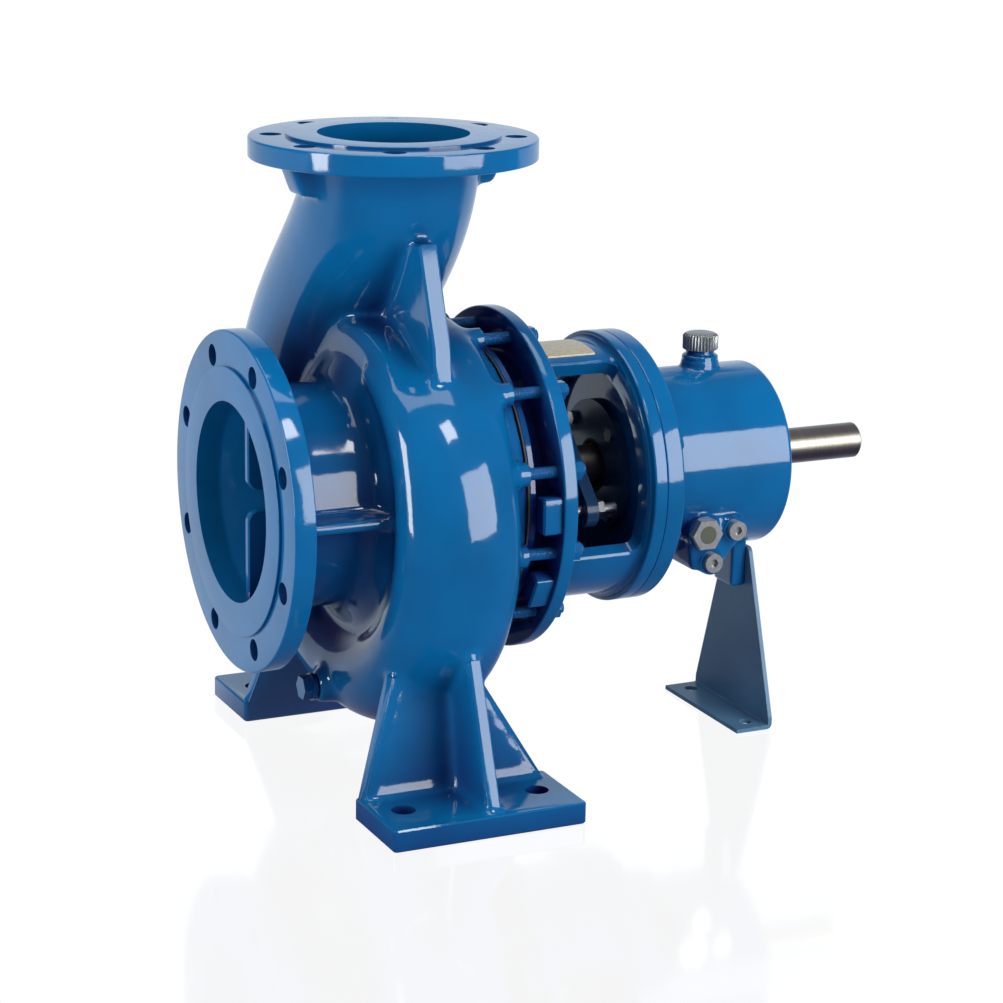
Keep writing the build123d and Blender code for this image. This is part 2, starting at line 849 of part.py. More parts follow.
def make_shaft_sleeve():
    return disc(hub_rear, sleeve_end, sleeve_radius, sleeve_seat_radius + seat_gap)


def race_groove(x):
    """Ring shaped groove that the balls run in."""
    profile = side_plane(x, 0, shaft_height + ball_circle_radius) * Circle(groove_radius)
    return revolve(profile, axis=SHAFT_AXIS)


def make_outer_race(x):
    inner = bearing_radius - race_thickness
    return disc(x, x + bearing_width, bearing_radius - seat_gap, inner) - race_groove(x + bearing_width / 2)


def make_inner_race(x):
    bore = bearing_seat_radius + seat_gap
    ring = disc(x, x + bearing_width, bearing_seat_radius + race_thickness, bore)
    return ring - race_groove(x + bearing_width / 2)


def make_ball_cage(x):
    """Balls and the cage between them, as separate solids of one node."""
    middle = x + bearing_width / 2
    planes = around(middle, ball_circle_radius, ball_count)
    cage = disc(middle - cage_width / 2, middle + cage_width / 2,
                ball_circle_radius + cage_thickness / 2, ball_circle_radius - cage_thickness / 2)
    for plane in planes:
        outward = plane.origin - Vector(middle, 0, shaft_height)
        pocket = Plane(origin=plane.origin, x_dir=(1, 0, 0), z_dir=outward)
        cage -= pocket * Cylinder(ball_radius + running_gap / 2, cage_thickness * 3)
    return group([cage] + [plane * Sphere(ball_radius) for plane in planes])


def make_lock_nut():
    """Slotted ring nut behind the rear bearing."""
    start = rear_bearing_x + bearing_width
    nut = disc(start, lock_nut_end, lock_nut_radius, bearing_seat_radius + seat_gap)
    for k in range(4):
        slot = box_between(start, lock_nut_end, -3, 3, lock_nut_radius - 4, lock_nut_radius + 2)
        nut -= (Pos(0, 0, shaft_height) * slot).rotate(SHAFT_AXIS, 90 * k)
    return nut


def make_lip_seal(x, shaft_radius):
    """Shaft seal ring with a lip groove on its inner side."""
    ring = disc(x, x + seal_width, seal_radius - seat_gap, shaft_radius + journal_gap)
    return ring - disc(x, x + seal_width - 3, seal_radius - 3, shaft_radius + 2)


# Lantern and bearing housing

def window(side):
    """Cut for one lantern window, a sector between the two struts; side is -1 near, +1 far."""
    reach = rear_ring_radius + 20
    points = [(0, 0)]
    for k in range(5):
        turn = radians(window_low_angle + (window_high_angle - window_low_angle) * k / 4)
        points.append((-reach * cos(turn), reach * sin(turn)))
    start = disk_rear + window_margin
    sector = extrude(station(start) * make_face(Polyline(*points, close=True)),
                     amount=rear_ring_front - window_margin - start)
    cut = sector - disc(start, rear_ring_front - window_margin, barrel_radius - barrel_wall - 20)
    return cut if side < 0 else mirror(cut, about=Plane.XZ)


def make_lantern():
    """Casting between cover and bearing housing: front disk, barrel with two windows, rear ring."""
    inner = barrel_radius - barrel_wall
    corners = [
        (lantern_front, lantern_bore_radius),
        (lantern_front, lantern_disk_radius),
        (disk_rear, lantern_disk_radius),
        (disk_rear, barrel_radius),
        (rear_ring_front, barrel_radius),
        (rear_ring_front, rear_ring_radius),
        (lantern_rear, rear_ring_radius),
        (lantern_rear, housing_spigot_radius + seat_gap),
        (rear_ring_front, housing_spigot_radius + seat_gap),
        (rear_ring_front - 6, inner),
        (disk_rear + 4, inner),
        (disk_rear - 2, lantern_bore_radius),
    ]
    lantern = turned(corners, [1, 3, 3, 6, 4, 3, 1, 0, 0, 6, 0, 0])
    lugs = []
    for turn in jack_lug_angles:
        middle = stud_radius + 2
        lug = box_between(lantern_front - jack_lug_depth, lantern_front + 1, -middle - 10, -middle + 8,
                          shaft_height - jack_lug_width / 2, shaft_height + jack_lug_width / 2)
        lugs.append(lug.rotate(SHAFT_AXIS, -turn))
    lantern += lugs
    cuts = [window(-1), window(1)]
    hole_depth = lantern_disk_thickness
    for plane in around(lantern_front, stud_radius, stud_count, stud_first_angle):
        cuts.append(plane * Cylinder(stud_diameter / 2 + stud_clearance, hole_depth, align=UP))
    first_screw = 180 / housing_screw_count
    for plane in around(rear_ring_front, housing_screw_radius, housing_screw_count, first_screw):
        cuts.append(plane * Cylinder(stud_diameter / 2 + seat_gap, rear_ring_thickness, align=UP))
    return lantern - cuts


def make_nameplate():
    """Bare curved plate on the top strut."""
    nameplate_rear = nameplate_front + nameplate_length
    plate = disc(nameplate_front, nameplate_rear, barrel_radius + nameplate_thickness, barrel_radius)
    half = barrel_radius * tan(radians(nameplate_angle / 2))
    keep = box_between(nameplate_front, nameplate_rear, -half, half,
                       shaft_height + barrel_radius / 2, shaft_height + barrel_radius * 2)
    return plate & keep


def make_housing_screws():
    grip = housing_flange_thickness + rear_ring_thickness
    planes = around(housing_flange_rear, housing_screw_radius, housing_screw_count, 180 / housing_screw_count)
    return group(hex_screw(plane, stud_diameter / 2, grip, nut_width, screw_head) for plane in planes)


def fitting_plane(x, drop, reach):
    """Plane on the near side of the housing, facing the viewer, at a drop below the shaft."""
    return side_plane(x, -reach, shaft_height - drop)


def fitting_pad():
    """Raised pad on the near side that carries the sight glass and the two plugs."""
    edges = []
    for x, drop, radius in fitting_places():
        edges += (Pos(x, shaft_height - drop) * Circle(radius)).edges()
    return extrude(side_plane(0, 0, 0) * make_hull(edges), amount=fitting_face)


def fitting_places():
    return [
        (sight_x, fitting_drop, sight_boss_radius),
        (gauge_plug_x, fitting_drop, plug_boss_radius),
        (drain_plug_x, drain_plug_drop, sight_boss_radius),
    ]


def make_bearing_housing():
    """Bearing housing: flange, barrel, two bearing seats and an oil sump between them."""
    face = lantern_rear - housing_spigot_depth
    front_seat_end = front_bearing_x + bearing_width
    corners = [
        (face, bearing_radius),
        (face, housing_spigot_radius),
        (lantern_rear, housing_spigot_radius),
        (lantern_rear, housing_flange_radius),
        (housing_flange_rear, housing_flange_radius),
        (housing_flange_rear, housing_radius),
        (housing_end, housing_radius),
        (housing_end, bearing_radius),
    ]
    shell = turned(corners, [0, 1, 0, 2, 3, 6, housing_edge_round, 0])
    sump = turned([
        (front_seat_end + 3, bearing_radius - 3),
        (front_seat_end + 3, sump_radius),
        (rear_bearing_x - 3, sump_radius),
        (rear_bearing_x - 3, bearing_radius - 3),
    ], [0, 10, 10, 0])
    up = floor_plane(filler_x, 0, shaft_height + sump_radius)
    boss_height = filler_boss_top - sump_radius
    filler = up * Cylinder(filler_boss_radius, boss_height, align=UP)
    half_lug = bracket_lug_width / 2
    lug = box_between(bracket_x - bracket_lug_length, bracket_x, -half_lug, half_lug,
                      shaft_height - bracket_lug_drop, shaft_height - housing_radius + bracket_lug_root)
    web = box_between(housing_flange_rear - 1, sight_x, -sight_boss_radius / 2, sight_boss_radius / 2,
                      shaft_height - housing_radius - 16, shaft_height - housing_radius + 6)
    body = shell + [filler, lug, web, fitting_pad() - disc(sight_x - 60, gauge_plug_x + 60, bearing_radius)]
    body -= sump
    cuts = [up * Pos(0, 0, -10) * Cylinder(filler_hole_radius, boss_height + 10, align=UP)]
    sight_bore = Cylinder(sight_thread_radius + seat_gap, fitting_face - bearing_radius, align=UP)
    cuts.append(fitting_plane(sight_x, fitting_drop, bearing_radius) * sight_bore)
    for x, drop in ((gauge_plug_x, fitting_drop), (drain_plug_x, drain_plug_drop)):
        seat = fitting_plane(x, drop, fitting_face - plug_depth)
        cuts.append(seat * Cylinder(plug_thread_radius + seat_gap, plug_depth, align=UP))
    for plane in around(lantern_rear, housing_screw_radius, housing_screw_count, 180 / housing_screw_count):
        cuts.append(plane * Cylinder(stud_diameter / 2 + stud_clearance, housing_flange_thickness, align=UP))
    for x in (face, housing_end - cover_screw_depth):
        for plane in around(x, cover_screw_circle / 2, cover_screw_count, 45):
            cuts.append(plane * Cylinder(cover_screw / 2 + seat_gap, cover_screw_depth, align=UP))
    seat = station(bracket_x - bracket_lug_length, 0, -bracket_screw_drop)
    cuts.append(seat * Cylinder(bracket_screw / 2 + seat_gap, bracket_lug_length, align=UP))
    return body - cuts


def bearing_cover(x0, x1, flange_first, shaft_radius):
    """Cover with a spigot that holds the outer race and a pocket for the shaft seal."""
    if flange_first:
        flange = disc(x0, x0 + bearing_cover_thickness, bearing_cover_radius, seal_radius)
        spigot = disc(x0 + bearing_cover_thickness, x1, bearing_radius - seat_gap, cover_throat)
        spigot_start = x0 + bearing_cover_thickness
        lip = disc(spigot_start, spigot_start + cover_lip, cover_throat, shaft_radius + 1)
        planes = around(x0, cover_screw_circle / 2, cover_screw_count, 45)
    else:
        flange = disc(x1 - bearing_cover_thickness, x1, bearing_cover_radius, seal_radius)
        spigot = disc(x0, x1 - bearing_cover_thickness, bearing_radius - seat_gap, cover_throat)
        spigot_end = x1 - bearing_cover_thickness
        lip = disc(spigot_end - cover_lip / 2, spigot_end, cover_throat, shaft_radius + 1)
        planes = around(x1 - bearing_cover_thickness, cover_screw_circle / 2, cover_screw_count, 45)
    return drilled(flange + spigot + lip, planes, cover_screw / 2 + stud_clearance, bearing_cover_thickness)


def make_front_bearing_cover():
    return bearing_cover(front_cover_face, front_bearing_x, True, bearing_seat_radius)


def make_rear_bearing_cover():
    start = rear_bearing_x + bearing_width
    return bearing_cover(start, housing_end + bearing_cover_thickness, False, seal_land_radius)


def make_cover_screws():
    """Screws of both bearing covers; the front ones face the lantern, the rear ones the drive end."""
    grip = bearing_cover_thickness + cover_screw_depth - 2
    screws = []
    for plane in around(housing_end + bearing_cover_thickness, cover_screw_circle / 2, cover_screw_count, 45):
        screws.append(hex_screw(plane, cover_screw / 2, grip, cover_screw_width, cover_screw_head))
    for plane in around(front_cover_face, cover_screw_circle / 2, cover_screw_count, 45):
        flipped = Plane(origin=plane.origin, x_dir=plane.x_dir, z_dir=-plane.z_dir)
        screws.append(hex_screw(flipped, cover_screw / 2, grip, cover_screw_width, cover_screw_head))
    return group(screws)


# Fittings of the housing

def make_filler_cap():
    """Knurled filler and vent cap with a short stem."""
    points = []
    for k in range(cap_grip_count * 2):
        turn = radians(180.0 * k / cap_grip_count)
        radius = cap_radius if k % 2 else cap_radius - 1.2
        points.append((radius * cos(turn), radius * sin(turn)))
    seat = floor_plane(filler_x, 0, shaft_height + filler_boss_top)
    head = extrude(seat * make_face(Polyline(*points, close=True)), amount=cap_height - cap_top_height)
    crown = floor_plane(filler_x, 0, shaft_height + filler_boss_top + cap_height - cap_top_height)
    top = crown * Cone(cap_radius - 1.2, cap_radius - 4, cap_top_height, align=UP)
    stem = floor_plane(filler_x, 0, shaft_height + filler_boss_top - cap_stem)
    return head + [top, stem * Cylinder(filler_hole_radius - running_gap, cap_stem, align=UP)]


def make_sight_glass_body():
    """Hexagon body of the oil sight glass, with a bezel round the window."""
    seat = fitting_plane(sight_x, fitting_drop, fitting_face)
    back = fitting_plane(sight_x, fitting_drop, fitting_face - plug_depth)
    body = seat * hexagon(sight_hex, sight_head)
    body += back * Cylinder(sight_thread_radius, plug_depth, align=UP)
    body -= back * Cylinder(sight_thread_radius - 3, plug_depth + sight_head, align=UP)
    rim = fitting_plane(sight_x, fitting_drop, fitting_face + sight_head - sight_glass_thickness)
    return body - rim * Cylinder(sight_window_radius + seat_gap, sight_glass_thickness, align=UP)


def make_sight_glass():
    rim = fitting_plane(sight_x, fitting_drop, fitting_face + sight_head - sight_glass_thickness)
    return rim * Cylinder(sight_window_radius, sight_glass_thickness, align=UP)


def make_oil_plugs():
    """Round headed socket plugs beside and below the sight glass."""
    plugs = []
    for x, drop in ((gauge_plug_x, fitting_drop), (drain_plug_x, drain_plug_drop)):
        seat = fitting_plane(x, drop, fitting_face)
        back = fitting_plane(x, drop, fitting_face - plug_depth)
        socket = Pos(0, 0, plug_socket_floor) * hexagon(plug_socket, plug_head)
        head = seat * (Cylinder(plug_radius, plug_head, align=UP) - socket)
        plugs.append(head + back * Cylinder(plug_thread_radius, plug_depth, align=UP))
    return group(plugs)


def make_support_foot():
    """Bent sheet foot: an upright plate that narrows to the top and a base turned under the housing."""
    top = shaft_height - bracket_top_drop
    half_top, half_bottom = bracket_top_width / 2, bracket_bottom_width / 2
    rear = bracket_x + bracket_sheet
    profile = FilletPolyline(
        (rear, top), (rear, 0), (rear - bracket_foot_length, 0), (rear - bracket_foot_length, bracket_sheet),
        (bracket_x, bracket_sheet), (bracket_x, top),
        radius=[0, bracket_bend, 0, 0, bracket_bend - bracket_sheet, 0], close=True,
    )
    strip = extrude(side_plane(0, half_bottom, 0) * make_face(profile), amount=bracket_bottom_width)
    outline = FilletPolyline(
        (-half_bottom, -1), (half_bottom, -1), (half_bottom, bracket_bend * 2),
        (half_top, top), (-half_top, top), (-half_bottom, bracket_bend * 2),
        radius=[0, 0, 10, 8, 8, 10], close=True,
    )
    plane = Plane(origin=(rear - bracket_foot_length - 1, 0, 0), x_dir=(0, 1, 0), z_dir=(1, 0, 0))
    foot = strip & extrude(plane * make_face(outline), amount=bracket_foot_length + 2)
    cuts = []
    for sign in (-1, 1):
        place = Pos(rear - bracket_foot_length / 2, sign * bracket_hole_spacing / 2, 0)
        cuts.append(place * Cylinder(bracket_hole / 2, bracket_sheet, align=UP))
    seat = station(bracket_x, 0, -bracket_screw_drop)
    cuts.append(seat * Cylinder(bracket_screw / 2 + stud_clearance / 2, bracket_sheet, align=UP))
    return foot - cuts


def make_support_foot_screw():
    seat = station(bracket_x + bracket_sheet, 0, -bracket_screw_drop)
    grip = bracket_sheet + bracket_lug_length - 1
    return hex_screw(seat, bracket_screw / 2, grip, bracket_screw_width, bracket_screw_head)


def make_drain_plug():
    """Hexagon drain plug with a collar, at the bottom of the casing."""
    outward = Plane(origin=(drain_front, 0, drain_height), x_dir=(0, -1, 0), z_dir=(-1, 0, 0))
    collar = Cylinder(drain_plug_hex / 2 + 3, drain_collar, align=UP)
    head = Pos(0, 0, drain_collar) * hexagon(drain_plug_hex, drain_plug_head - drain_collar)
    thread = Pos(0, 0, -plug_depth) * Cylinder(drain_thread_radius, plug_depth, align=UP)
    return outward * (collar + [head, thread])


def main():
    nodes = split_casing(make_volute_casing())
    nodes |= {
        "casing_wear_ring": make_wear_ring(),
        "impeller": make_impeller(),
        "impeller_key": make_impeller_key(),
        "impeller_washer": make_impeller_washer(),
        "impeller_nut": make_impeller_nut(),
        "casing_cover": make_casing_cover(),
        "cover_gasket": make_cover_gasket(),
        "casing_studs": make_casing_studs(),
        "casing_nuts": make_casing_nuts(),
        "packing_rings": make_packing_rings(),
        "seal_water_ring": make_seal_water_ring(),
        "gland_follower": make_gland_follower(),
        "gland_studs": make_gland_studs(),
        "gland_nuts": make_gland_nuts(),
        "shaft": make_shaft(),
        "shaft_sleeve": make_shaft_sleeve(),
        "bearing_lock_nut": make_lock_nut(),
        "lantern": make_lantern(),
        "nameplate": make_nameplate(),
        "bearing_housing": make_bearing_housing(),
        "housing_screws": make_housing_screws(),
        "front_bearing_cover": make_front_bearing_cover(),
        "rear_bearing_cover": make_rear_bearing_cover(),
        "bearing_cover_screws": make_cover_screws(),
        "front_lip_seal": make_lip_seal(front_cover_face, bearing_seat_radius),
        "rear_lip_seal": make_lip_seal(housing_end + bearing_cover_thickness - seal_width, seal_land_radius),
        "filler_cap": make_filler_cap(),
        "sight_glass_body": make_sight_glass_body(),
        "sight_glass": make_sight_glass(),
        "oil_plugs": make_oil_plugs(),
        "support_foot": make_support_foot(),
        "support_foot_screw": make_support_foot_screw(),
        "casing_drain_plug": make_drain_plug(),
    }
    for end, x in (("front", front_bearing_x), ("rear", rear_bearing_x)):
        nodes[end + "_outer_race"] = make_outer_race(x)
        nodes[end + "_inner_race"] = make_inner_race(x)
        nodes[end + "_ball_cage"] = make_ball_cage(x)
    for name, shape in nodes.items():
        export_step(shape, "parts/" + name + ".step")


main()
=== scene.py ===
import json
import math

import bmesh
import bpy
import numpy as np
from mathutils import Matrix, Vector


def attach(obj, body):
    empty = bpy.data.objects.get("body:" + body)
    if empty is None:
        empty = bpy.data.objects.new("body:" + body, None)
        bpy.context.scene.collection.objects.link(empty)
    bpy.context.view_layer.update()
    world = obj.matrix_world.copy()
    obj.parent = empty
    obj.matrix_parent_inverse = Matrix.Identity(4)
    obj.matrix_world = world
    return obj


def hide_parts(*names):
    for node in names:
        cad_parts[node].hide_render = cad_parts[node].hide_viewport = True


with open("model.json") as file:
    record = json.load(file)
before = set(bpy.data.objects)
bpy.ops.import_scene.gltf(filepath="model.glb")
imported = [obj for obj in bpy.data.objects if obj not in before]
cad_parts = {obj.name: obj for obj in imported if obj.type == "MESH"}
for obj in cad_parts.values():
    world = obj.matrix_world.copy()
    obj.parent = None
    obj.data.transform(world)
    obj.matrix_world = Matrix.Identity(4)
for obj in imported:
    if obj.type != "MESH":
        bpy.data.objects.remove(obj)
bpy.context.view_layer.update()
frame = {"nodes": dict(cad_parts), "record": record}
MM = 0.001
SHAFT_LEVEL = 288.0
WHITE = (1.0, 1.0, 1.0, 1.0)
bpy.context.scene.view_settings.view_transform = "Standard"

# Camera, in metres and degrees
CAMERA_PLACE = (-1.107284, -2.590848, 1.024285)
CAMERA_YAW = 25.4097
CAMERA_PITCH = 14.9298
CAMERA_ROLL = 0.98366
CAMERA_LENS = 103.568
CAMERA_SENSOR = 36.0


def place_camera():
    """Camera at the measured place, looking along yaw (about +Z from +Y) and pitch, then rolled."""
    yaw, pitch, roll = (math.radians(a) for a in (CAMERA_YAW, CAMERA_PITCH, CAMERA_ROLL))
    look = Vector((math.sin(yaw) * math.cos(pitch), math.cos(yaw) * math.cos(pitch), -math.sin(pitch)))
    right = Vector((math.cos(yaw), -math.sin(yaw), 0.0))
    up = right.cross(look)
    r = right * math.cos(roll) + up * math.sin(roll)
    u = -right * math.sin(roll) + up * math.cos(roll)
    data = bpy.data.cameras.new("camera")
    data.lens = CAMERA_LENS
    data.sensor_width = CAMERA_SENSOR
    data.sensor_fit = "HORIZONTAL"
    data.clip_end = 100.0
    camera = bpy.data.objects.new("camera", data)
    bpy.context.scene.collection.objects.link(camera)
    turn = Matrix((r, u, -look)).transposed().to_4x4()
    camera.matrix_world = Matrix.Translation(CAMERA_PLACE) @ turn
    bpy.context.scene.camera = camera


place_camera()


# Studio: pale floor, white surround, soft lamps

FLOOR_SIZE = 14.0
SURROUND_LIGHT = 0.14
BACKDROP_SIDE = (0.40, 0.92, 0.0)
BACKDROP_FADE = (0.62, 0.92)
STUDIO_DARK = (0.07, 0.05, 0.14)
STUDIO_PALE = (0.66, 0.74, 0.84)
FLOOR_SIDE = (0.0, 1.0, 0.0)
SURROUND_COLOR = (0.80, 0.87, 1.0, 1.0)
FLOOR_ROUGHNESS = 0.09
FLOOR_MIRROR = 0.14
FLOOR_WHITE = 1.06
FLOOR_COLOR = (0.60, 0.62, 0.68, 1.0)
FLOOR_FADE = (-0.1, 0.4)


def new_tree(name):
    """Empty node tree of a new material, with its output."""
    material = bpy.data.materials.new(name)
    material.use_nodes = True
    tree = material.node_tree
    tree.nodes.clear()
    return material, tree, tree.nodes.new("ShaderNodeOutputMaterial")


def joined(tree, *flags):
    """1 where any of the ray flags is set."""
    total = flags[0]
    for flag in flags[1:]:
        node = tree.nodes.new("ShaderNodeMath")
        node.operation = "MAXIMUM"
        tree.links.new(total, node.inputs[0])
        tree.links.new(flag, node.inputs[1])
        total = node.outputs[0]
    return total


def blend(tree, factor, first, second):
    """Mix of two shaders."""
    node = tree.nodes.new("ShaderNodeMixShader")
    if isinstance(factor, float):
        node.inputs[0].default_value = factor
    else:
        tree.links.new(factor, node.inputs[0])
    tree.links.new(first, node.inputs[1])
    tree.links.new(second, node.inputs[2])
    return node.outputs[0]


def front_to_back(tree, source, side, start, end):
    """Dark in front of the object and pale behind it, over a dot product with a direction."""
    behind = tree.nodes.new("ShaderNodeVectorMath")
    behind.operation = "DOT_PRODUCT"
    behind.inputs[1].default_value = side
    tree.links.new(source, behind.inputs[0])
    fade = tree.nodes.new("ShaderNodeMapRange")
    fade.interpolation_type = "SMOOTHSTEP"
    fade.inputs["From Min"].default_value = start
    fade.inputs["From Max"].default_value = end
    tree.links.new(behind.outputs["Value"], fade.inputs["Value"])
    return ramp(tree, fade.outputs["Result"], [(0.0, STUDIO_DARK), (1.0, STUDIO_PALE)])


def make_world():
    """Soft blue-white light, a dark studio in reflections at the front, and a white backdrop behind."""
    world = bpy.data.worlds.new("studio")
    bpy.context.scene.world = world
    world.use_nodes = True
    tree = world.node_tree
    tree.nodes.clear()
    out = tree.nodes.new("ShaderNodeOutputWorld")
    path = tree.nodes.new("ShaderNodeLightPath")
    lit, mirrored, white = (tree.nodes.new("ShaderNodeBackground") for _ in range(3))
    lit.inputs["Color"].default_value = SURROUND_COLOR
    lit.inputs["Strength"].default_value = SURROUND_LIGHT
    coord = tree.nodes.new("ShaderNodeTexCoord")
    backdrop = front_to_back(tree, coord.outputs["Generated"], BACKDROP_SIDE, *BACKDROP_FADE)
    tree.links.new(backdrop, mirrored.inputs["Color"])
    for seen in (mirrored, white):
        seen.inputs["Strength"].default_value = 1.0
    white.inputs["Color"].default_value = WHITE
    light = blend(tree, path.outputs["Is Glossy Ray"], lit.outputs[0], mirrored.outputs[0])
    seen = joined(tree, path.outputs["Is Camera Ray"], path.outputs["Is Transmission Ray"])
    tree.links.new(blend(tree, seen, light, white.outputs[0]), out.inputs["Surface"])


def make_floor():
    """Level white floor that mirrors the feet faintly; the object mirrors it dark in front."""
    corners = np.array([(-1, -1, 0), (1, -1, 0), (1, 1, 0), (-1, 1, 0)], float) * FLOOR_SIZE
    mesh = bpy.data.meshes.new("floor")
    mesh.from_pydata([tuple(c) for c in corners], [], [(0, 1, 2, 3)])
    floor = bpy.data.objects.new("floor", mesh)
    bpy.context.scene.collection.objects.link(floor)
    material, tree, out = new_tree("floor_white")
    path = tree.nodes.new("ShaderNodeLightPath")
    body = tree.nodes.new("ShaderNodeBsdfDiffuse")
    body.inputs["Color"].default_value = FLOOR_COLOR
    white, mirrored = (tree.nodes.new("ShaderNodeEmission") for _ in range(2))
    white.inputs["Color"].default_value = WHITE
    white.inputs["Strength"].default_value = FLOOR_WHITE
    gloss = tree.nodes.new("ShaderNodeBsdfGlossy")
    gloss.inputs["Color"].default_value = WHITE
    gloss.inputs["Roughness"].default_value = FLOOR_ROUGHNESS
    place = tree.nodes.new("ShaderNodeNewGeometry")
    seen_floor = front_to_back(tree, place.outputs["Position"], FLOOR_SIDE, *FLOOR_FADE)
    tree.links.new(seen_floor, mirrored.inputs["Color"])
    light = blend(tree, path.outputs["Is Glossy Ray"], body.outputs[0], mirrored.outputs[0])
    polished = blend(tree, FLOOR_MIRROR, white.outputs[0], gloss.outputs[0])
    tree.links.new(blend(tree, path.outputs["Is Camera Ray"], light, polished), out.inputs["Surface"])
    mesh.materials.append(material)


def softbox(name, place, aim, size, power):
    """Rectangular lamp at place, facing aim."""
    data = bpy.data.lights.new(name, "AREA")
    data.shape = "RECTANGLE"
    data.size, data.size_y = size
    data.energy = power
    lamp = bpy.data.objects.new(name, data)
    bpy.context.scene.collection.objects.link(lamp)
    away = (Vector(place) - Vector(aim)).normalized()
    lamp.matrix_world = Matrix.Translation(place) @ away.to_track_quat("Z", "Y").to_matrix().to_4x4()


# Finishes

THREADS_PER_METRE = 180.0
# Painted shade: ambient occlusion darkens the blue enamel to this violet colour in corners and hollows.
BLUE_PAINTED_SHADE = (0.006, 0.012, 0.11)
PAINTED_SHADE_SAMPLES = 8
PAINTED_SHADE_REACH = 0.10
PAINTED_SHADE_FADE = (0.25, 0.80)
ENAMEL_SPECULAR = 0.03
DRIFT_SCALE = 9.0
CAST_SCALE = 28.0
PEEL_SCALE = 420.0
PEEL_DEPTH = 0.00006
THREAD_DEPTH = 0.0006


def shader(name, color, metallic, roughness, coat=0.0, coat_roughness=0.05, specular=0.5):
    """Principled material; returns it with its tree and shader node."""
    material, tree, out = new_tree(name)
    node = tree.nodes.new("ShaderNodeBsdfPrincipled")
    node.inputs["Base Color"].default_value = (*color, 1.0)
    node.inputs["Metallic"].default_value = metallic
    node.inputs["Roughness"].default_value = roughness
    node.inputs["Coat Weight"].default_value = coat
    node.inputs["Coat Roughness"].default_value = coat_roughness
    node.inputs["Specular IOR Level"].default_value = specular
    tree.links.new(node.outputs[0], out.inputs["Surface"])
    return material, tree, node


def object_noise(tree, scale, detail, stretch=None):
    """Noise on Object coordinates, in features per metre."""
    coord = tree.nodes.new("ShaderNodeTexCoord")
    noise = tree.nodes.new("ShaderNodeTexNoise")
    noise.inputs["Scale"].default_value = scale
    noise.inputs["Detail"].default_value = detail
    source = coord.outputs["Object"]
    if stretch:
        mapping = tree.nodes.new("ShaderNodeMapping")
        mapping.inputs["Scale"].default_value = stretch
        tree.links.new(source, mapping.inputs["Vector"])
        source = mapping.outputs["Vector"]
    tree.links.new(source, noise.inputs["Vector"])
    return noise


def ramp(tree, value, stops):
    """Color ramp over a value between two stops, each (place, color)."""
    node = tree.nodes.new("ShaderNodeValToRGB")
    for element, (place, color) in zip(node.color_ramp.elements, stops):
        element.position = place
        element.color = (*color, 1.0)
    tree.links.new(value, node.inputs["Fac"])
    return node.outputs["Color"]


def bump(tree, height, distance, strength, normal=None):
    """Normal of a surface raised by a height value, over another normal if one is given."""
    node = tree.nodes.new("ShaderNodeBump")
    node.inputs["Strength"].default_value = strength
    node.inputs["Distance"].default_value = distance
    tree.links.new(height, node.inputs["Height"])
    if normal is not None:
        tree.links.new(normal, node.inputs["Normal"])
    return node.outputs["Normal"]


def with_painted_shade(tree, shade_colour, paint):
    """Painted shade: the paint is darkened towards a shade colour where ambient occlusion finds the
    surface hemmed in.
    """
    shade = tree.nodes.new("ShaderNodeAmbientOcclusion")
    shade.samples = PAINTED_SHADE_SAMPLES
    shade.inputs["Distance"].default_value = PAINTED_SHADE_REACH
    mix = tree.nodes.new("ShaderNodeMix")
    mix.data_type = "RGBA"
    hemmed, clear = PAINTED_SHADE_FADE
    open_share = ramp(tree, shade.outputs["AO"], [(hemmed, (0.0, 0.0, 0.0)), (clear, (1.0, 1.0, 1.0))])
    tree.links.new(open_share, mix.inputs[0])
    mix.inputs[6].default_value = (*shade_colour, 1.0)
    tree.links.new(paint, mix.inputs[7])
    return mix.outputs[2]


def enamel(name, color, roughness=0.38, coat=1.0, coat_roughness=0.07, wave=0.0006, shade_colour=None):
    """Glossy enamel over cast iron: slow colour drift, sand-cast waviness, fine orange peel.

    The last argument, if given, is painted shade: the colour that corners and hollows are darkened to
    by ambient occlusion.
    """
    material, tree, node = shader(name, color, 0.0, roughness, coat, coat_roughness, ENAMEL_SPECULAR)
    drift = object_noise(tree, DRIFT_SCALE, 4.0)
    darker = tuple(c * 0.82 for c in color)
    lighter = tuple(min(1.0, c * 1.15) for c in color)
    paint = ramp(tree, drift.outputs["Fac"], [(0.3, darker), (0.7, lighter)])
    # painted shade: darkened towards the shade colour in corners and hollows
    if shade_colour:
        paint = with_painted_shade(tree, shade_colour, paint)
    tree.links.new(paint, node.inputs["Base Color"])
    uneven = object_noise(tree, CAST_SCALE, 2.0)
    peel = object_noise(tree, PEEL_SCALE, 2.0)
    wavy = bump(tree, uneven.outputs["Fac"], wave, 0.5)
    full = bump(tree, peel.outputs["Fac"], PEEL_DEPTH, 0.5, wavy)
    tree.links.new(full, node.inputs["Normal"])
    tree.links.new(full, node.inputs["Coat Normal"])
    return material


def threads(name, color):
    """Enamel over screw threads that run along X."""
    material, tree, node = shader(name, color, 0.0, 0.4, 0.8, 0.12, 0.2)
    coord = tree.nodes.new("ShaderNodeTexCoord")
    wave = tree.nodes.new("ShaderNodeTexWave")
    wave.wave_type = "BANDS"
    wave.bands_direction = "X"
    wave.inputs["Scale"].default_value = THREADS_PER_METRE
    wave.inputs["Distortion"].default_value = 0.0
    tree.links.new(coord.outputs["Object"], wave.inputs["Vector"])
    flow = object_noise(tree, 60.0, 3.0)
    paint = ramp(tree, flow.outputs["Fac"], [(0.35, tuple(c * 0.75 for c in color)), (0.65, color)])
    tree.links.new(paint, node.inputs["Base Color"])
    normal = bump(tree, wave.outputs["Fac"], THREAD_DEPTH, 0.8)
    tree.links.new(normal, node.inputs["Normal"])
    tree.links.new(normal, node.inputs["Coat Normal"])
    return material


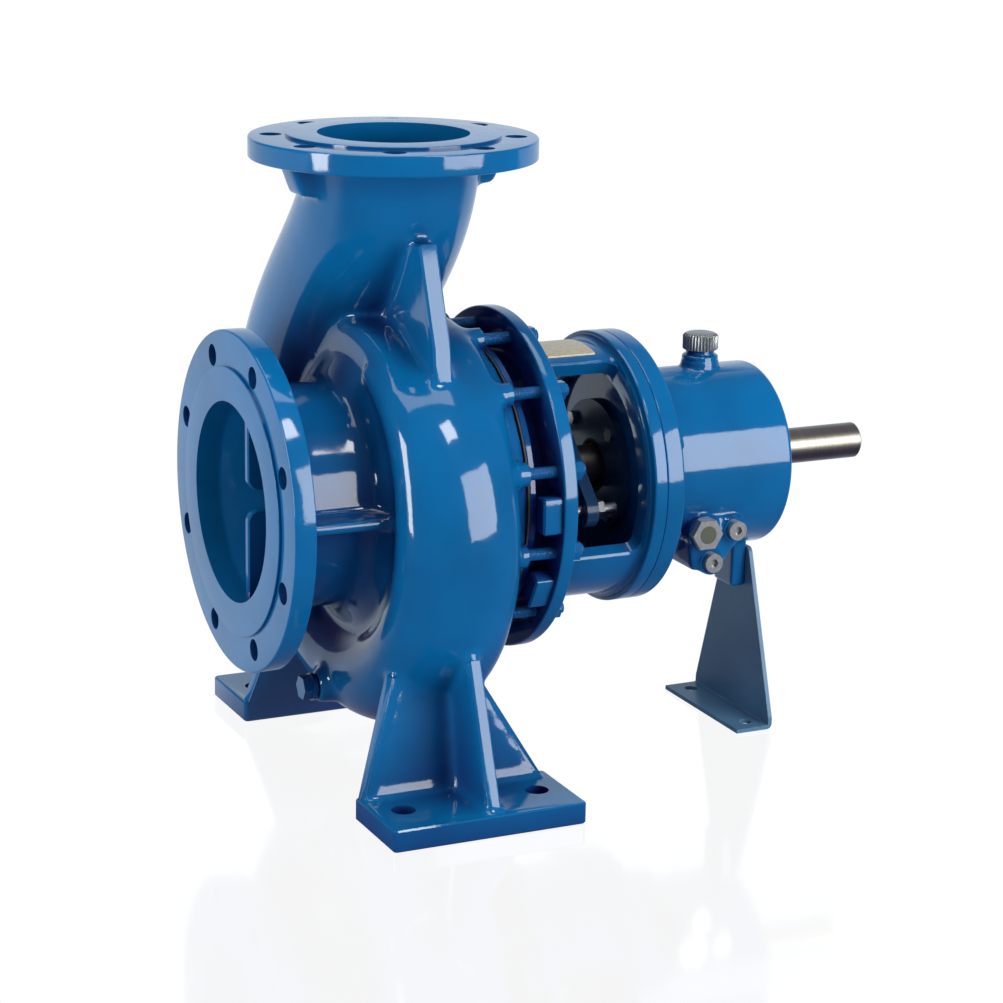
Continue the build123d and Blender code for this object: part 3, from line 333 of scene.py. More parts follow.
def metal(name, color, roughness, stretch=(1.0, 1.0, 1.0), scale=300.0, scratch=0.00003, metallic=1.0):
    """Bare metal with fine tool marks."""
    material, tree, node = shader(name, color, metallic, roughness)
    marks = object_noise(tree, scale, 4.0, stretch)
    darker = tuple(c * 0.8 for c in color)
    tint = ramp(tree, marks.outputs["Fac"], [(0.35, darker), (0.65, color)])
    tree.links.new(tint, node.inputs["Base Color"])
    tree.links.new(bump(tree, marks.outputs["Fac"], scratch, 0.6), node.inputs["Normal"])
    return material


FINISHES = {
    # Both blue enamels carry painted shade in corners and hollows.
    "blue_enamel": enamel("blue_enamel", (0.0015, 0.108, 0.285), shade_colour=BLUE_PAINTED_SHADE),
    # Darker copy of the blue enamel for the casing cover: painted shade for its recess between casing
    # and lantern.
    "casing_cover": enamel("cover_painted_shade", (0.002, 0.085, 0.26), shade_colour=BLUE_PAINTED_SHADE),
    "casing_studs": threads("stud_threads", (0.002, 0.10, 0.30)),
    "dark_enamel": enamel("dark_enamel", (0.008, 0.035, 0.09), 0.45, 0.5, 0.2),
    "bracket_enamel": enamel("bracket_enamel", (0.095, 0.205, 0.33), 0.45, 0.4, 0.25, 0.0001),
    "fastener_steel": metal("fastener_steel", (0.45, 0.46, 0.47), 0.32),
    "bronze": metal("bronze", (0.5, 0.33, 0.14), 0.35),
    "cast_iron": metal("cast_iron", (0.16, 0.16, 0.16), 0.6, scale=120.0, scratch=0.0004),
    "gasket_sheet": enamel("gasket_sheet", (0.08, 0.09, 0.08), 0.8, 0.0, 0.5),
    "packing_yarn": enamel("packing_yarn", (0.03, 0.03, 0.03), 0.8, 0.0, 0.5),
    "shaft_steel": metal("shaft_steel", (0.34, 0.33, 0.27), 0.36, (1.0, 0.03, 0.03), 900.0),
    "seal_rubber": enamel("seal_rubber", (0.02, 0.02, 0.02), 0.6, 0.0, 0.5),
    "nickel": metal("nickel", (0.42, 0.44, 0.43), 0.30, metallic=0.7),
    "filler_cap": metal("cap_nickel", (0.27, 0.29, 0.285), 0.30, metallic=0.7),
    "sight_glass": enamel("sight_glass", (0.10, 0.11, 0.08), 0.15, 1.0, 0.02),
    "bearing_steel": metal("bearing_steel", (0.6, 0.6, 0.6), 0.15),
    "bare_plate": metal("bare_plate", (0.60, 0.53, 0.38), 0.40, metallic=0.5),
}


# Surfaces, all worked out as arrays of points: sizes are given in mm and the meshes are in metres

CAST_VOXEL = 0.0037
CAST_ROUNDS = 10
ON_AXIS = 1e-9


def grid_faces(rows, columns):
    """Quads of a grid of points, row by row, whose last column joins its first."""
    r, c = np.meshgrid(np.arange(rows - 1), np.arange(columns), indexing="ij")
    low, high, beside = r * columns, (r + 1) * columns, (c + 1) % columns
    return np.stack([low + c, low + beside, high + beside, high + c], -1).reshape(-1, 4)


def outward(points, fans):
    """True if a closed surface of triangles encloses a positive volume, from the sum of a . (b x c)."""
    a, b, c = (points[fans[:, k]] for k in range(3))
    return np.einsum("ij,ij->i", a, np.cross(b, c)).sum() > 0


def put_mesh(name, points, faces):
    """Object of a closed surface; its faces are turned to point outwards."""
    fans = np.array([(f[0], f[k], f[k + 1]) for f in faces for k in range(1, len(f) - 1)])
    if not outward(points, fans):
        faces = [tuple(reversed(f)) for f in faces]
    mesh = bpy.data.meshes.new(name)
    mesh.from_pydata(points.tolist(), [], [tuple(int(i) for i in f) for f in faces])
    mesh.update()
    piece = bpy.data.objects.new(name, mesh)
    bpy.context.scene.collection.objects.link(piece)
    return piece


def closed_tube(name, rings):
    """Surface through rings of points, an array (stations, round, 3), with a flat cap over each end."""
    stations, around_count, _ = rings.shape
    faces = grid_faces(stations, around_count).tolist()
    last = (stations - 1) * around_count
    faces.append(list(range(around_count))[::-1])
    faces.append([last + k for k in range(around_count)])
    return put_mesh(name, rings.reshape(-1, 3), faces)


def rounded(corners, radii, steps=7):
    """Closed outline (n, 2) in mm: each corner is replaced by an arc tangent to its two sides."""
    corners = np.array(corners, float)
    out = []
    neighbours = zip(np.roll(corners, 1, 0), corners, np.roll(corners, -1, 0), radii)
    for before, at, after, radius in neighbours:
        if radius <= 0:
            out.append(at[None])
            continue
        to_before = (before - at) / np.linalg.norm(before - at)
        to_after = (after - at) / np.linalg.norm(after - at)
        half = math.acos(np.clip(to_before @ to_after, -1, 1)) / 2
        inwards = to_before + to_after
        middle = at + inwards / np.linalg.norm(inwards) * radius / math.sin(half)
        start = at + to_before * radius / math.tan(half) - middle
        end = at + to_after * radius / math.tan(half) - middle
        share = np.linspace(0, 1, steps)[:, None]
        turn = math.pi - 2 * half
        arc = start * np.sin((1 - share) * turn) + end * np.sin(share * turn)
        out.append(middle + arc / math.sin(turn))
    return np.concatenate(out)


def turned(name, corners, radii, segments=128, axis="shaft", centre=(0.0, 0.0)):
    """Surface of revolution from closed (along, radius) corners in mm.

    Each corner (s, r) sweeps to (s, r cos t, r sin t) for axis "shaft", which runs along X at the shaft
    height, and to (r cos t, r sin t, s) for axis "up", which runs along Z through centre (x, y) in mm.
    """
    outline = rounded(corners, radii)
    turn = np.linspace(0, 2 * math.pi, segments, endpoint=False)
    along = np.repeat(outline[:, :1], segments, 1)
    side, rise = outline[:, 1:] * np.cos(turn), outline[:, 1:] * np.sin(turn)
    if axis == "shaft":
        points = np.stack([along, side, rise + SHAFT_LEVEL], -1)
    else:
        points = np.stack([side + centre[0], rise + centre[1], along], -1)
    points = points.reshape(-1, 3) * MM
    rows = len(outline)
    here, beside = np.arange(segments), (np.arange(segments) + 1) % segments
    last = (rows - 1) * segments
    closing = np.stack([last + here, last + beside, beside, here], -1)
    faces = np.concatenate([grid_faces(rows, segments), closing])
    radius = np.repeat(outline[:, 1], segments)
    first_of_row = np.repeat(np.arange(rows) * segments, segments)
    label = np.where(radius < ON_AXIS, first_of_row, np.arange(len(points)))
    faces = label[faces]
    kept = []
    for f in faces.tolist():
        ring = [i for k, i in enumerate(f) if i != f[k - 1]]
        if len(set(ring)) >= 3:
            kept.append(ring)
    used = np.unique([i for f in kept for i in f])
    place = np.full(len(points), -1)
    place[used] = np.arange(len(used))
    return put_mesh(name, points[used], [[int(place[i]) for i in f] for f in kept])


def layered(name, outlines, levels, plane):
    """Surface through outlines (n, 2) in mm, each at its level across the plane "yz", "xz" or "xy"."""
    flat = np.stack(outlines)
    level = np.broadcast_to(np.array(levels, float)[:, None], flat.shape[:2])
    columns = [flat[..., 0], flat[..., 1]]
    columns.insert({"yz": 0, "xz": 1, "xy": 2}[plane], level)
    return closed_tube(name, np.stack(columns, -1) * MM)


def prism(name, outline, plane, low, high):
    """Plate from an outline (n, 2) in mm between two levels."""
    outline = np.array(outline, float)
    return layered(name, [outline, outline], [low, high], plane)


def inset(outline, distance):
    """Outline (n, 2) with each side moved inwards by distance; moved sides meet at the new corners."""
    outline = np.array(outline, float)
    after = np.roll(outline, -1, 0)
    area = (outline[:, 0] * after[:, 1] - after[:, 0] * outline[:, 1]).sum()
    side = (after - outline) / np.linalg.norm(after - outline, axis=1)[:, None]
    inwards = np.stack([-side[:, 1], side[:, 0]], -1) * np.sign(area)
    before = np.roll(inwards, 1, 0)
    shift = (inwards + before) / (1.0 + (inwards * before).sum(1))[:, None]
    return outline + shift * distance


def bevelled(name, outline, plane, low, high, size):
    """Plate like a prism whose two rims are cut back by a bevel of the given size."""
    outline = np.array(outline, float)
    small = inset(outline, size)
    levels = [low, low + size, high - size, high]
    return layered(name, [small, outline, outline, small], levels, plane)


def apply_modifiers(piece):
    """The piece's mesh becomes what its modifiers give."""
    depsgraph = bpy.context.evaluated_depsgraph_get()
    mesh = bpy.data.meshes.new_from_object(piece.evaluated_get(depsgraph))
    old = piece.data
    piece.modifiers.clear()
    piece.data = mesh
    mesh.name = piece.name
    bpy.data.meshes.remove(old)


def merge(name, pieces):
    """One object that holds the surfaces of all the pieces."""
    points, faces, offset = [], [], 0
    for piece in pieces:
        mesh = piece.data
        co = np.empty(len(mesh.vertices) * 3, np.float32)
        mesh.vertices.foreach_get("co", co)
        points.append(co.reshape(-1, 3))
        faces += [[i + offset for i in face.vertices] for face in mesh.polygons]
        offset += len(mesh.vertices)
        bpy.data.objects.remove(piece)
    mesh = bpy.data.meshes.new(name)
    mesh.from_pydata(np.concatenate(points).tolist(), [], faces)
    whole = bpy.data.objects.new(name, mesh)
    bpy.context.scene.collection.objects.link(whole)
    return whole


def cast(name, pieces, voxel, rounds):
    """Union of closed surfaces on a voxel grid, then rounds of averaging that leave cast fillets."""
    whole = merge(name, pieces)
    remesh = whole.modifiers.new("union", "REMESH")
    remesh.mode = "VOXEL"
    remesh.voxel_size = voxel
    remesh.adaptivity = 0.0
    apply_modifiers(whole)
    mesh = whole.data
    co = np.empty(len(mesh.vertices) * 3, np.float32)
    mesh.vertices.foreach_get("co", co)
    co = co.reshape(-1, 3).astype(float)
    edges = np.empty(len(mesh.edges) * 2, np.int32)
    mesh.edges.foreach_get("vertices", edges)
    a, b = edges.reshape(-1, 2).T
    count = np.bincount(np.concatenate([a, b]), minlength=len(co))[:, None]
    for _ in range(rounds):
        total = np.stack([
            np.bincount(a, co[b, k], len(co)) + np.bincount(b, co[a, k], len(co)) for k in range(3)
        ], -1)
        co += 0.5 * (total / count - co)
    mesh.vertices.foreach_set("co", co.astype(np.float32).ravel())
    mesh.update()
    return whole


def combine(piece, others, operation):
    """Union with, or cut by, other closed surfaces, one after another."""
    for other in others:
        step = piece.modifiers.new(operation.lower(), "BOOLEAN")
        step.operation = operation
        step.solver = "MANIFOLD"
        step.object = other
    apply_modifiers(piece)
    for other in others:
        bpy.data.objects.remove(other)
    return piece


def crisp(piece, degrees=32.0):
    """Smooth shading, sharp across edges steeper than the angle."""
    piece.data.shade_smooth()
    piece.data.set_sharp_from_angle(angle=math.radians(degrees))
    return piece


# Volute casing. The spiral's section is an ellipse whose half height grows as turn ** HEIGHT_GROWTH and
# whose half breadth grows as turn ** BREADTH_GROWTH; its inner edge stays on one circle.
# A cubic curve takes it to the discharge flange.

WALL = 12.0
HALF_HEIGHT = 50.0
HEIGHT_GROWTH = 0.714
HALF_BREADTH = 47.0
BREADTH_GAIN = 29.0
BREADTH_GROWTH = 1.5
NECK_STEPS = 28
SPIRAL_SEGMENTS = 72
OUTLET_FACE = 645.0
VOLUTE_BASE = 138.0
VOLUTE_LIP = 4.0
LAST_TURN = 300.0
NECK_PULLS = (118.0, 104.0)
OUTLET_BORE = 150.0
NECK_THINNING = 0.05


def volute_rings(wall, turns):
    """Rings (stations, segments, 3) in metres of the spiral and the swan neck."""
    height = HALF_HEIGHT * (np.array(turns) / 180.0) ** HEIGHT_GROWTH
    breadth = HALF_BREADTH + BREADTH_GAIN * (np.array(turns) / LAST_TURN) ** BREADTH_GROWTH
    angle = np.radians(turns)
    reach = VOLUTE_BASE - VOLUTE_LIP + height
    radial = np.stack([np.zeros_like(reach), -np.sin(angle), np.cos(angle)], -1)
    centre = reach[:, None] * radial + np.array([0.0, 0.0, SHAFT_LEVEL])
    start, flow = centre[-1], np.array([0.0, -math.cos(angle[-1]), -math.sin(angle[-1])])
    end = np.array([0.0, 0.0, OUTLET_FACE])
    low, high = start + flow * NECK_PULLS[0], end - np.array([0.0, 0.0, NECK_PULLS[1]])
    t = np.linspace(0, 1, NECK_STEPS + 1)[1:, None]
    u = 1 - t
    place = start * u**3 + low * 3 * u * u * t + high * 3 * u * t * t + end * t**3
    run = (low - start) * u * u + (high - low) * 2 * u * t + (end - high) * t * t
    run /= np.linalg.norm(run, axis=1)[:, None]
    across = np.stack([np.zeros(len(t)), run[:, 2], -run[:, 1]], -1)
    across *= np.sign(across[0] @ radial[-1])
    ease = t[:, 0] * t[:, 0] * (3 - 2 * t[:, 0])
    bore = OUTLET_BORE / 2
    neck_height = height[-1] + (bore - height[-1]) * ease
    neck_breadth = breadth[-1] + (bore - breadth[-1]) * ease
    centres = np.concatenate([centre, place])
    radials = np.concatenate([radial, across])
    thickness = np.concatenate([np.full(len(height), wall), wall * (1.0 - NECK_THINNING * ease)])
    heights = np.concatenate([height, neck_height]) + thickness
    breadths = np.concatenate([breadth, neck_breadth]) + thickness
    turn = np.linspace(0, 2 * math.pi, SPIRAL_SEGMENTS, endpoint=False)
    x_part = breadths[:, None, None] * np.cos(turn)[None, :, None] * np.array([1.0, 0.0, 0.0])
    r_part = heights[:, None, None] * np.sin(turn)[None, :, None] * radials[:, None, :]
    return (centres[:, None, :] + x_part + r_part) * MM


def shaft_circle(radius, count, first_degrees):
    """Places (y, z) in mm on a circle about the shaft, from the near side upwards."""
    turn = np.radians(first_degrees + 360.0 * np.arange(count) / count)
    return np.stack([-radius * np.cos(turn), SHAFT_LEVEL + radius * np.sin(turn)], -1)


def rod(name, x0, x1, y, z, radius, chamfer=0.0, segments=32):
    """Round bar along X in mm, with chamfered ends if a chamfer is given."""
    along = np.array([x0, x0 + chamfer, x1 - chamfer, x1]) if chamfer else np.array([x0, x1])
    size = np.full(len(along), float(radius))
    size[[0, -1]] -= chamfer
    turn = np.linspace(0, 2 * math.pi, segments, endpoint=False)
    rings = np.stack([
        np.repeat(along[:, None], segments, 1),
        y + size[:, None] * np.cos(turn),
        z + size[:, None] * np.sin(turn),
    ], -1)
    return closed_tube(name, rings * MM)


def post(name, x, y, z0, z1, radius, segments=32):
    """Upright round bar in mm."""
    turn = np.linspace(0, 2 * math.pi, segments, endpoint=False)
    rings = np.stack([
        np.broadcast_to(x + radius * np.cos(turn), (2, segments)),
        np.broadcast_to(y + radius * np.sin(turn), (2, segments)),
        np.repeat(np.array([[z0], [z1]]), segments, 1),
    ], -1)
    return closed_tube(name, rings * MM)


WEB = [(-30, 548), (-86, 548), (-123, 453), (-128, 415), (20, 440), (17, 520)]
WEB_HALF = 9.5
STUD_CIRCLE = (158, 12, 15)
DRAIN_LEVEL = 86
FLANGE_RIM = 142.5
SPLITTER_HALF_GAP = 10
SPLITTER_REACH = 102
FOOT_PLATE = [(-102, 153), (102, 153), (102, 252), (-102, 252)]
FOOT_WALL = [(-102, 10), (101, 10), (26, 138), (-62, 138)]
FOOT_RIB = [(154, 10), (249, 10), (192, 160), (134, 160)]
FOOT_LEAN = 0.17


def mirrored(outline, side):
    """Outline with its first coordinate on the given side, -1 or 1."""
    return [(side * a, b) for a, b in outline]


def leaning_wall(name, outline, side, near, far):
    """Plate like a prism along Y whose upper end leans in towards the shaft."""
    outline = np.array(outline, float)
    lean = FOOT_LEAN * (outline[:, 1] - outline[:, 1].min())
    rings = [np.stack([outline[:, 0], side * (y - lean), outline[:, 1]], -1) for y in (near, far)]
    return closed_tube(name, np.stack(rings) * MM)


def cast_forms():
    """Rough forms of the casing that the cast fillets join."""
    forms = [closed_tube("spiral", volute_rings(WALL, np.arange(24.0, 300.1, 4.0)))]
    forms.append(turned("drum", [
        (-160, 0), (-160, 128), (-147, 124), (-136, 112), (-68, 112), (-52, 138), (-50, 173),
        (64, 173), (64, 148), (84, 148), (84, 0),
    ], [0, 0, 6, 10, 16, 12, 14, 14, 3, 1, 0], 144))
    flare = [(606, 0), (606, 80), (621, 92), (635, 92), (635, 0)]
    forms.append(turned("outlet_flare", flare, [0, 0, 6, 0, 0], 96, "up"))
    forms.append(prism("web", WEB, "yz", -WEB_HALF, WEB_HALF))
    rib = [(-148, 284), (-148, 296), (-50, 296), (-50, 284)]
    forms.append(prism("inlet_rib", rib, "xz", -142, -100))
    for sign, width, depth in ((-1, 37, 34), (1, 32, 30)):
        outer = FLANGE_RIM - 25
        top, low = 624, 622 - depth
        lug = [(outer - 50, top), (outer, top), (outer - 14, low), (outer - 50, low)]
        forms.append(prism("lug", mirrored(lug, sign), "xz", -width / 2, width / 2))
    for side in (-1, 1):
        forms.append(leaning_wall("foot_wall", FOOT_WALL, side, 154.0, 171.0))
        forms.append(prism("foot_rib", mirrored(FOOT_RIB, side), "yz", 0, 15))
        plate = [(x, side * y) for x, y in FOOT_PLATE]
        forms.append(prism("foot_plate", plate, "xy", 0, 22))
    for y, z in shaft_circle(*STUD_CIRCLE):
        forms.append(rod("stud_boss", 24, 76, y, z, 13))
    forms.append(rod("drain_boss", -84, -20, 0, DRAIN_LEVEL, 18))
    return forms


def crisp_forms():
    """Machined faces and sharper edges that the averaging of the cast forms would round off.

    They come in three sets, whose members stay clear of each other.
    """
    inlet = [(-169, 0), (-169, 170), (-147, 170), (-147, 0)]
    outlet = [(642, 0), (642, FLANGE_RIM), (621, FLANGE_RIM), (621, 0)]
    inlet_face = [(-172, 0), (-172, 134), (-160, 134), (-160, 0)]
    outlet_face = [(OUTLET_FACE, 0), (OUTLET_FACE, 106), (630, 106), (630, 0)]
    first = [
        turned("inlet_flange", inlet, [0, 2, 2, 0], 160),
        turned("outlet_flange", outlet, [0, 2, 2, 0], 160, "up"),
    ]
    second = [
        turned("inlet_face", inlet_face, [0, 1, 0, 0], 160),
        turned("outlet_face", outlet_face, [0, 1, 0, 0], 160, "up"),
    ]
    second += [rod("stud_boss", 40, 78, y, z, 12, 1.5) for y, z in shaft_circle(*STUD_CIRCLE)]
    third = [bevelled("web", WEB, "yz", -WEB_HALF, WEB_HALF, 2.2)]
    for side in (-1, 1):
        plate = rounded([(x, side * y) for x, y in FOOT_PLATE], [5, 5, 5, 5], 5)
        third.append(bevelled("foot_plate", plate, "xy", 0, 22, 1.5))
        first.append(bevelled("foot_rib", inset(mirrored(FOOT_RIB, side), 0.5), "yz", 1.0, 14.0, 2.0))
        second.append(leaning_wall("foot_wall", inset(FOOT_WALL, 0.7), side, 154.7, 170.3))
    return [merge("first", first), merge("second", second), merge("third", third)]


def casing_cuts():
    """Water passages and holes for bolts, feet, the drain and the studs."""
    cuts = [turned("water", [
        (-190, 0), (-190, 100), (-147, 100), (-74, 79), (-56, 79),
        (-56, 92), (-38, 92), (-38, 138), (100, 138), (100, 0),
    ], [0, 0, 20, 10, 0, 0, 0, 0, 0, 0], 128)]
    passage = volute_rings(0.0, np.arange(32.0, 300.1, 4.0))
    above = passage[-1:] + np.array([0, 0, 0.02])
    cuts.append(closed_tube("passage", np.concatenate([passage, above])))
    holes = [rod("bolt_hole", -180, -130, y, z, 11) for y, z in shaft_circle(147.5, 8, 22.5)]
    for turn in np.radians(22.5 + 45 * np.arange(8)):
        holes.append(post("bolt_hole", 120 * math.cos(turn), 120 * math.sin(turn), 600, 660, 11))
    holes += [post("foot_hole", x, y, -10, 60, 12) for x in (-71, 71) for y in (-202, 202)]
    holes.append(rod("drain_hole", -100, -30, 0, DRAIN_LEVEL, 10))
    holes += [rod("stud_hole", 52, 90, y, z, 6) for y, z in shaft_circle(*STUD_CIRCLE)]
    cuts.append(merge("holes", holes))
    return cuts


def make_casing():
    """The cast forms, the machined ones, the cuts, and the splitter that shows in the suction mouth."""
    body = cast("volute_casting", cast_forms(), CAST_VOXEL, CAST_ROUNDS)
    combine(body, crisp_forms(), "UNION")
    combine(body, casing_cuts(), "DIFFERENCE")
    ribs = []
    for sign in (-1, 1):
        low, high = SHAFT_LEVEL + sign * SPLITTER_HALF_GAP, SHAFT_LEVEL + sign * SPLITTER_REACH
        outline = rounded([(-155, high), (-155, low), (-70, low), (-70, high)], [0, 12, 12, 0])
        ribs.append(bevelled("splitter", outline, "xz", -4.5, 4.5, 1.5))
    combine(body, [merge("splitters", ribs)], "UNION")
    return crisp(body)


# Lantern: front disk, barrel with two windows, rear ring

BARREL_RADIUS = 131.5
LANTERN_PROFILE = [
    (108.8, 112.0), (108.8, 175.0), (124.3, 175.0), (124.3, BARREL_RADIUS),
    (226.5, BARREL_RADIUS), (226.5, 141.2), (241.0, 141.2), (241.0, 104.02),
    (226.5, 104.02), (220.5, 116.5), (128.3, 116.5), (122.3, 112.0),
]
LANTERN_ROUNDS = [1.0, 2.0, 2.5, 9.0, 7.0, 2.5, 1.5, 0.5, 2.0, 6.0, 3.0, 0.5]
WINDOW_LOW, WINDOW_HIGH = -28.5, 68.5
WINDOW_FRONT, WINDOW_REAR = 127.3, 223.5
WINDOW_CORNER = 13.0
CORNER_STEPS = 17
WINDOW_LEVELS = [(96.0, 0.0), (129.5, 0.0), (133.5, 4.0)]
LUG_TURNS = (0.0, -30.0, 180.0, 210.0)


def window_cutter(side):
    """Closed block on a (level, station, edge) grid.

    Levels run out from the shaft and stations turn about it. At depth d from an end of the window both
    edges are drawn in by c - sqrt(c^2 - (c - d)^2), so that its corners are arcs of radius c.
    """
    points = np.zeros((len(WINDOW_LEVELS), 3 * CORNER_STEPS - 2, 2, 3))
    share = (1.0 - np.cos(np.linspace(0.0, math.pi, CORNER_STEPS))) / 2.0
    for row, (radius, growth) in enumerate(WINDOW_LEVELS):
        corner = WINDOW_CORNER + growth
        low = math.radians(WINDOW_LOW) * BARREL_RADIUS - growth
        high = math.radians(WINDOW_HIGH) * BARREL_RADIUS + growth
        straight = np.linspace(low + corner, high - corner, CORNER_STEPS)
        arc = np.concatenate([low + corner * share, straight, high - corner * share])
        arc = np.unique(arc.round(6))
        depth = np.minimum(arc - low, high - arc).clip(0.0, corner)
        drawn = corner - np.sqrt(np.maximum(corner**2 - (corner - depth) ** 2, 0.0))
        turn = arc / BARREL_RADIUS
        for edge, x in enumerate((WINDOW_FRONT - growth + drawn, WINDOW_REAR + growth - drawn)):
            place = np.stack([x, side * radius * np.cos(turn), SHAFT_LEVEL + radius * np.sin(turn)], -1)
            points[row, :len(arc), edge] = place
    levels, stations = points.shape[:2]
    number = np.arange(points[..., 0].size).reshape(levels, stations, 2)
    faces = []
    for edge in (0, 1):
        a, b = number[:-1, :-1, edge], number[1:, :-1, edge]
        c, d = number[1:, 1:, edge], number[:-1, 1:, edge]
        quads = np.stack([a, b, c, d], -1).reshape(-1, 4)
        faces += (quads if edge else quads[:, ::-1]).tolist()
    for end in (0, -1):
        a, b = number[:-1, end, 0], number[:-1, end, 1]
        c, d = number[1:, end, 1], number[1:, end, 0]
        quads = np.stack([a, b, c, d], -1)
        faces += (quads[:, ::-1] if end else quads).tolist()
    for level in (0, -1):
        a, b = number[level, :-1, 0], number[level, 1:, 0]
        c, d = number[level, 1:, 1], number[level, :-1, 1]
        quads = np.stack([a, b, c, d], -1)
        faces += (quads[:, ::-1] if level else quads).tolist()
    cutter = put_mesh("window", points.reshape(-1, 3) * MM, faces)
    shell = bmesh.new()
    shell.from_mesh(cutter.data)
    bmesh.ops.recalc_face_normals(shell, faces=shell.faces)
    shell.to_mesh(cutter.data)
    shell.free()
    return cutter


def make_lantern():
    """Turned casting with its jack lugs, opened by the two windows."""
    body = turned("lantern_casting", LANTERN_PROFILE, LANTERN_ROUNDS, 200)
    lugs = []
    for degrees in LUG_TURNS:
        turn = math.radians(degrees)
        out = np.array([-math.cos(turn), math.sin(turn)])
        across = np.array([math.sin(turn), math.cos(turn)])
        corners = [out * r + across * w + np.array([0.0, SHAFT_LEVEL]) for r, w in
                   ((152, -18.5), (170, -18.5), (170, 18.5), (152, 18.5))]
        lugs.append(bevelled("jack_lug", rounded(corners, [3, 3, 3, 3], 4), "yz", 88.8, 112.0, 2.0))
    combine(body, [merge("jack_lugs", lugs)], "UNION")
    combine(body, [window_cutter(-1), window_cutter(1)], "DIFFERENCE")
    return crisp(body)


# Bearing housing: turned shell with cast bosses

HOUSING_PROFILE = [
    (241.0, 50.0), (241.0, 141.0), (261.0, 141.0), (261.0, 96.5), (412.7, 96.5), (412.7, 50.0),
]
HOUSING_ROUNDS = [0.0, 1.5, 3.0, 9.0, 5.0, 0.0]
SPIGOT_PROFILE = [(235.0, 50.0), (235.0, 104.0), (243.0, 104.0), (243.0, 50.0)]
FILLER_X = 351.0
FITTINGS = ((310.0, 231.0, 18.5), (347.0, 231.0, 14.5), (320.0, 199.0, 14.5))
FITTING_FACE = -95.0
FILLER_AXIS = (FILLER_X, 0.0)
HOUSING_VOXEL = 0.0021
HOUSING_CAST_ROUNDS = 7


def stub(name, x, z, y0, y1, radius, segments=32):
    """Round bar along Y in mm."""
    turn = np.linspace(0, 2 * math.pi, segments, endpoint=False)
    rings = np.stack([
        np.broadcast_to(x + radius * np.cos(turn), (2, segments)),
        np.repeat(np.array([[y0], [y1]]), segments, 1),
        np.broadcast_to(z + radius * np.sin(turn), (2, segments)),
    ], -1)
    return closed_tube(name, rings * MM)


def block(name, x, y, z):
    """Plain box between pairs of coordinates in mm."""
    return prism(name, [(x[0], y[0]), (x[1], y[0]), (x[1], y[1]), (x[0], y[1])], "xy", *z)


def make_housing():
    """Turned shell with cast bosses for the fittings, filler and foot."""
    forms = [turned("barrel", [(262, 60), (262, 96), (405, 96), (405, 60)], [0, 0, 0, 0], 96)]
    forms += [stub("fitting_boss", x, z, -40, FITTING_FACE, r) for x, z, r in FITTINGS]
    fill = [(300, 190), (332, 190), (357, 222), (350, 244), (300, 246), (294, 224)]
    forms.append(prism("fitting_pad", fill, "xz", -91, -40))
    forms.append(block("foot_lug", (388.0, 405.5), (-20.5, 20.5), (143.0, 220.0)))
    forms.append(block("rib", (255, 312), (-9, 9), (175.5, 200.0)))
    boss = [(340, 0), (340, 21), (394, 20), (394, 0)]
    forms.append(turned("filler_boss", boss, [0, 0, 1, 0], 48, "up", FILLER_AXIS))
    bosses = cast("boss_casting", forms, HOUSING_VOXEL, HOUSING_CAST_ROUNDS)
    shell = turned("housing_shell", HOUSING_PROFILE, HOUSING_ROUNDS, 200)
    faces = [turned("spigot", SPIGOT_PROFILE, [0, 1, 0, 0], 160)]
    faces += [stub("fitting_face", x, z, -60, FITTING_FACE, r - 0.8, 48) for x, z, r in FITTINGS]
    foot = rounded([(-20, 144), (20, 144), (20, 210), (-20, 210)], [4, 4, 0, 0], 5)
    faces.append(bevelled("lug_face", foot, "yz", 389.0, 405.0, 1.5))
    collar = [(370, 0), (370, 19), (398, 19), (398, 15), (403, 15), (403, 0)]
    faces.append(turned("filler_collar", collar, [0, 0, 3, 1.5, 1, 0], 64, "up", FILLER_AXIS))
    body = combine(bosses, [shell, merge("machined", faces)], "UNION")
    holes = [turned("bore", [(230, 0), (230, 50), (420, 50), (420, 0)], [0, 0, 0, 0], 96)]
    neck = [(345, 0), (345, 11), (410, 11), (410, 0)]
    holes.append(turned("filler_hole", neck, [0, 0, 0, 0], 48, "up", FILLER_AXIS))
    combine(body, holes, "DIFFERENCE")
    body.name = "housing_casting"
    return crisp(body)


# Filler cap: its side is fluted as radius - depth * (1 - cos(count * turn)) / 2

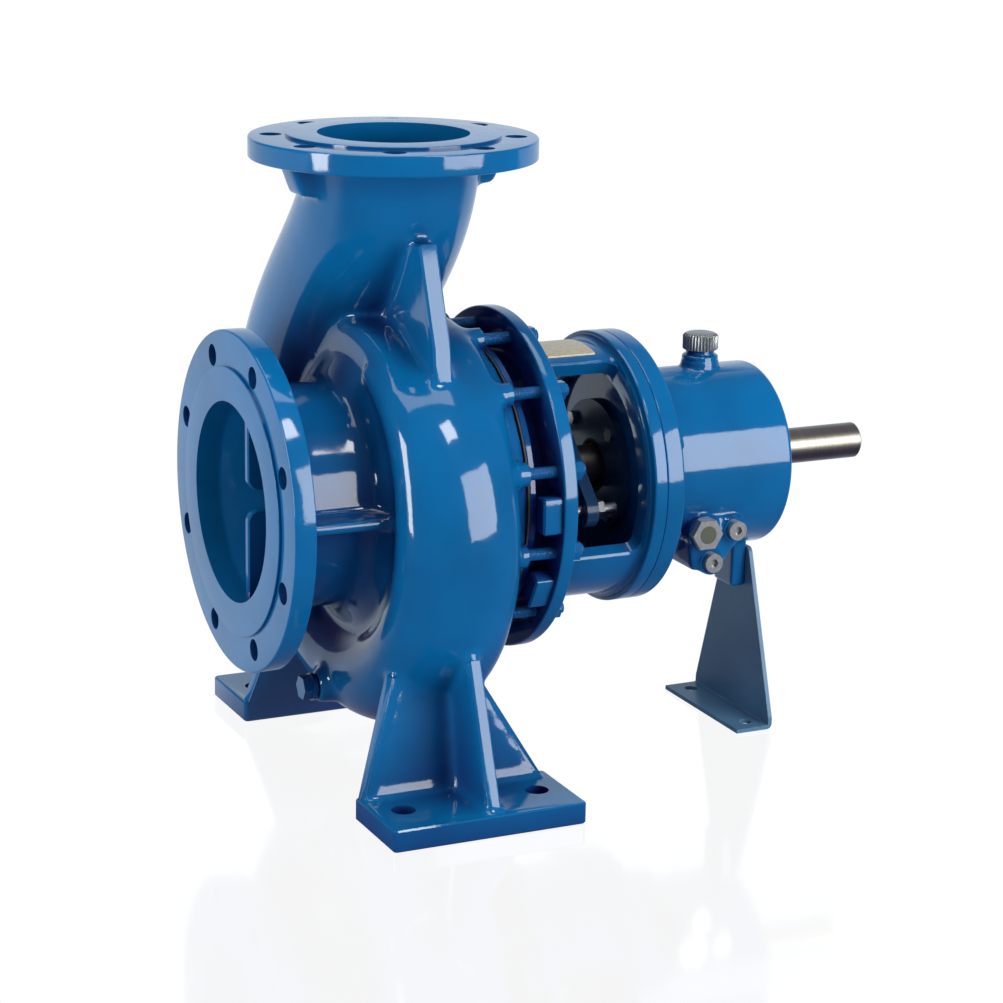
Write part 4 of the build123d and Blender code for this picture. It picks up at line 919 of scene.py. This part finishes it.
CAP_LEVELS = [(389.0, 10.7, 0), (403.1, 10.7, 0), (403.1, 17.4, 0), (404.0, 18.6, 1), (417.2, 18.6, 1),
              (418.6, 17.6, 1), (420.0, 15.6, 0), (420.9, 12.0, 0)]
CAP_FLUTES = 34
CAP_FLUTE_DEPTH = 1.3


def make_cap():
    """Fluted cap with its plug, through rings at the given levels."""
    turn = np.linspace(0, 2 * math.pi, CAP_FLUTES * 10, endpoint=False)
    flute = CAP_FLUTE_DEPTH * (1.0 - np.cos(CAP_FLUTES * turn)) / 2.0
    rings = []
    for z, radius, fluted in CAP_LEVELS:
        r = radius - fluted * flute
        level = np.full(len(turn), z)
        rings.append(np.stack([FILLER_X + r * np.cos(turn), r * np.sin(turn), level], -1))
    return crisp(closed_tube("filler_cap_turned", np.array(rings) * MM), 28.0)


def dress(piece, slot, body, nodes):
    """Gives a new piece its finish and its body, and hides the CAD nodes that it stands for."""
    piece.data.materials.clear()
    piece.data.materials.append(FINISHES.get(nodes[0], FINISHES[slot]))
    piece.data.polygons.foreach_set("material_index", np.zeros(len(piece.data.polygons), np.int32))
    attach(piece, body)
    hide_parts(*nodes)


def finish_cad_nodes():
    """Every CAD node that stays gets the finish of its slot."""
    for part in frame["record"]["subparts"]:
        node = frame["nodes"][part["node"]]
        node.data.materials.clear()
        node.data.materials.append(FINISHES.get(part["node"], FINISHES[part["material_slot"]]))


make_world()
make_floor()
softbox("overhead", (0.0, 0.3, 2.6), (0.0, 0.0, 0.3), (2.2, 1.6), 31.0)
softbox("left", (-2.4, -0.4, 0.9), (0.0, 0.0, 0.3), (0.6, 1.9), 48.0)
softbox("right", (1.35, -2.1, 0.92), (0.2, 0.0, 0.3), (1.6, 1.6), 56.0)
softbox("high_front", (0.35, -1.0, 1.9), (0.0, 0.0, 0.4), (0.4, 0.4), 7.0)

finish_cad_nodes()
CASING_NODES = [
    "volute_casing", "casing_suction_flange", "casing_suction_neck", "casing_discharge_neck",
    "casing_discharge_flange", "casing_feet",
]
dress(make_casing(), "blue_enamel", "frame", CASING_NODES)
dress(make_lantern(), "blue_enamel", "frame", ["lantern"])
dress(make_housing(), "blue_enamel", "frame", ["bearing_housing"])
dress(make_cap(), "nickel", "cap", ["filler_cap"])
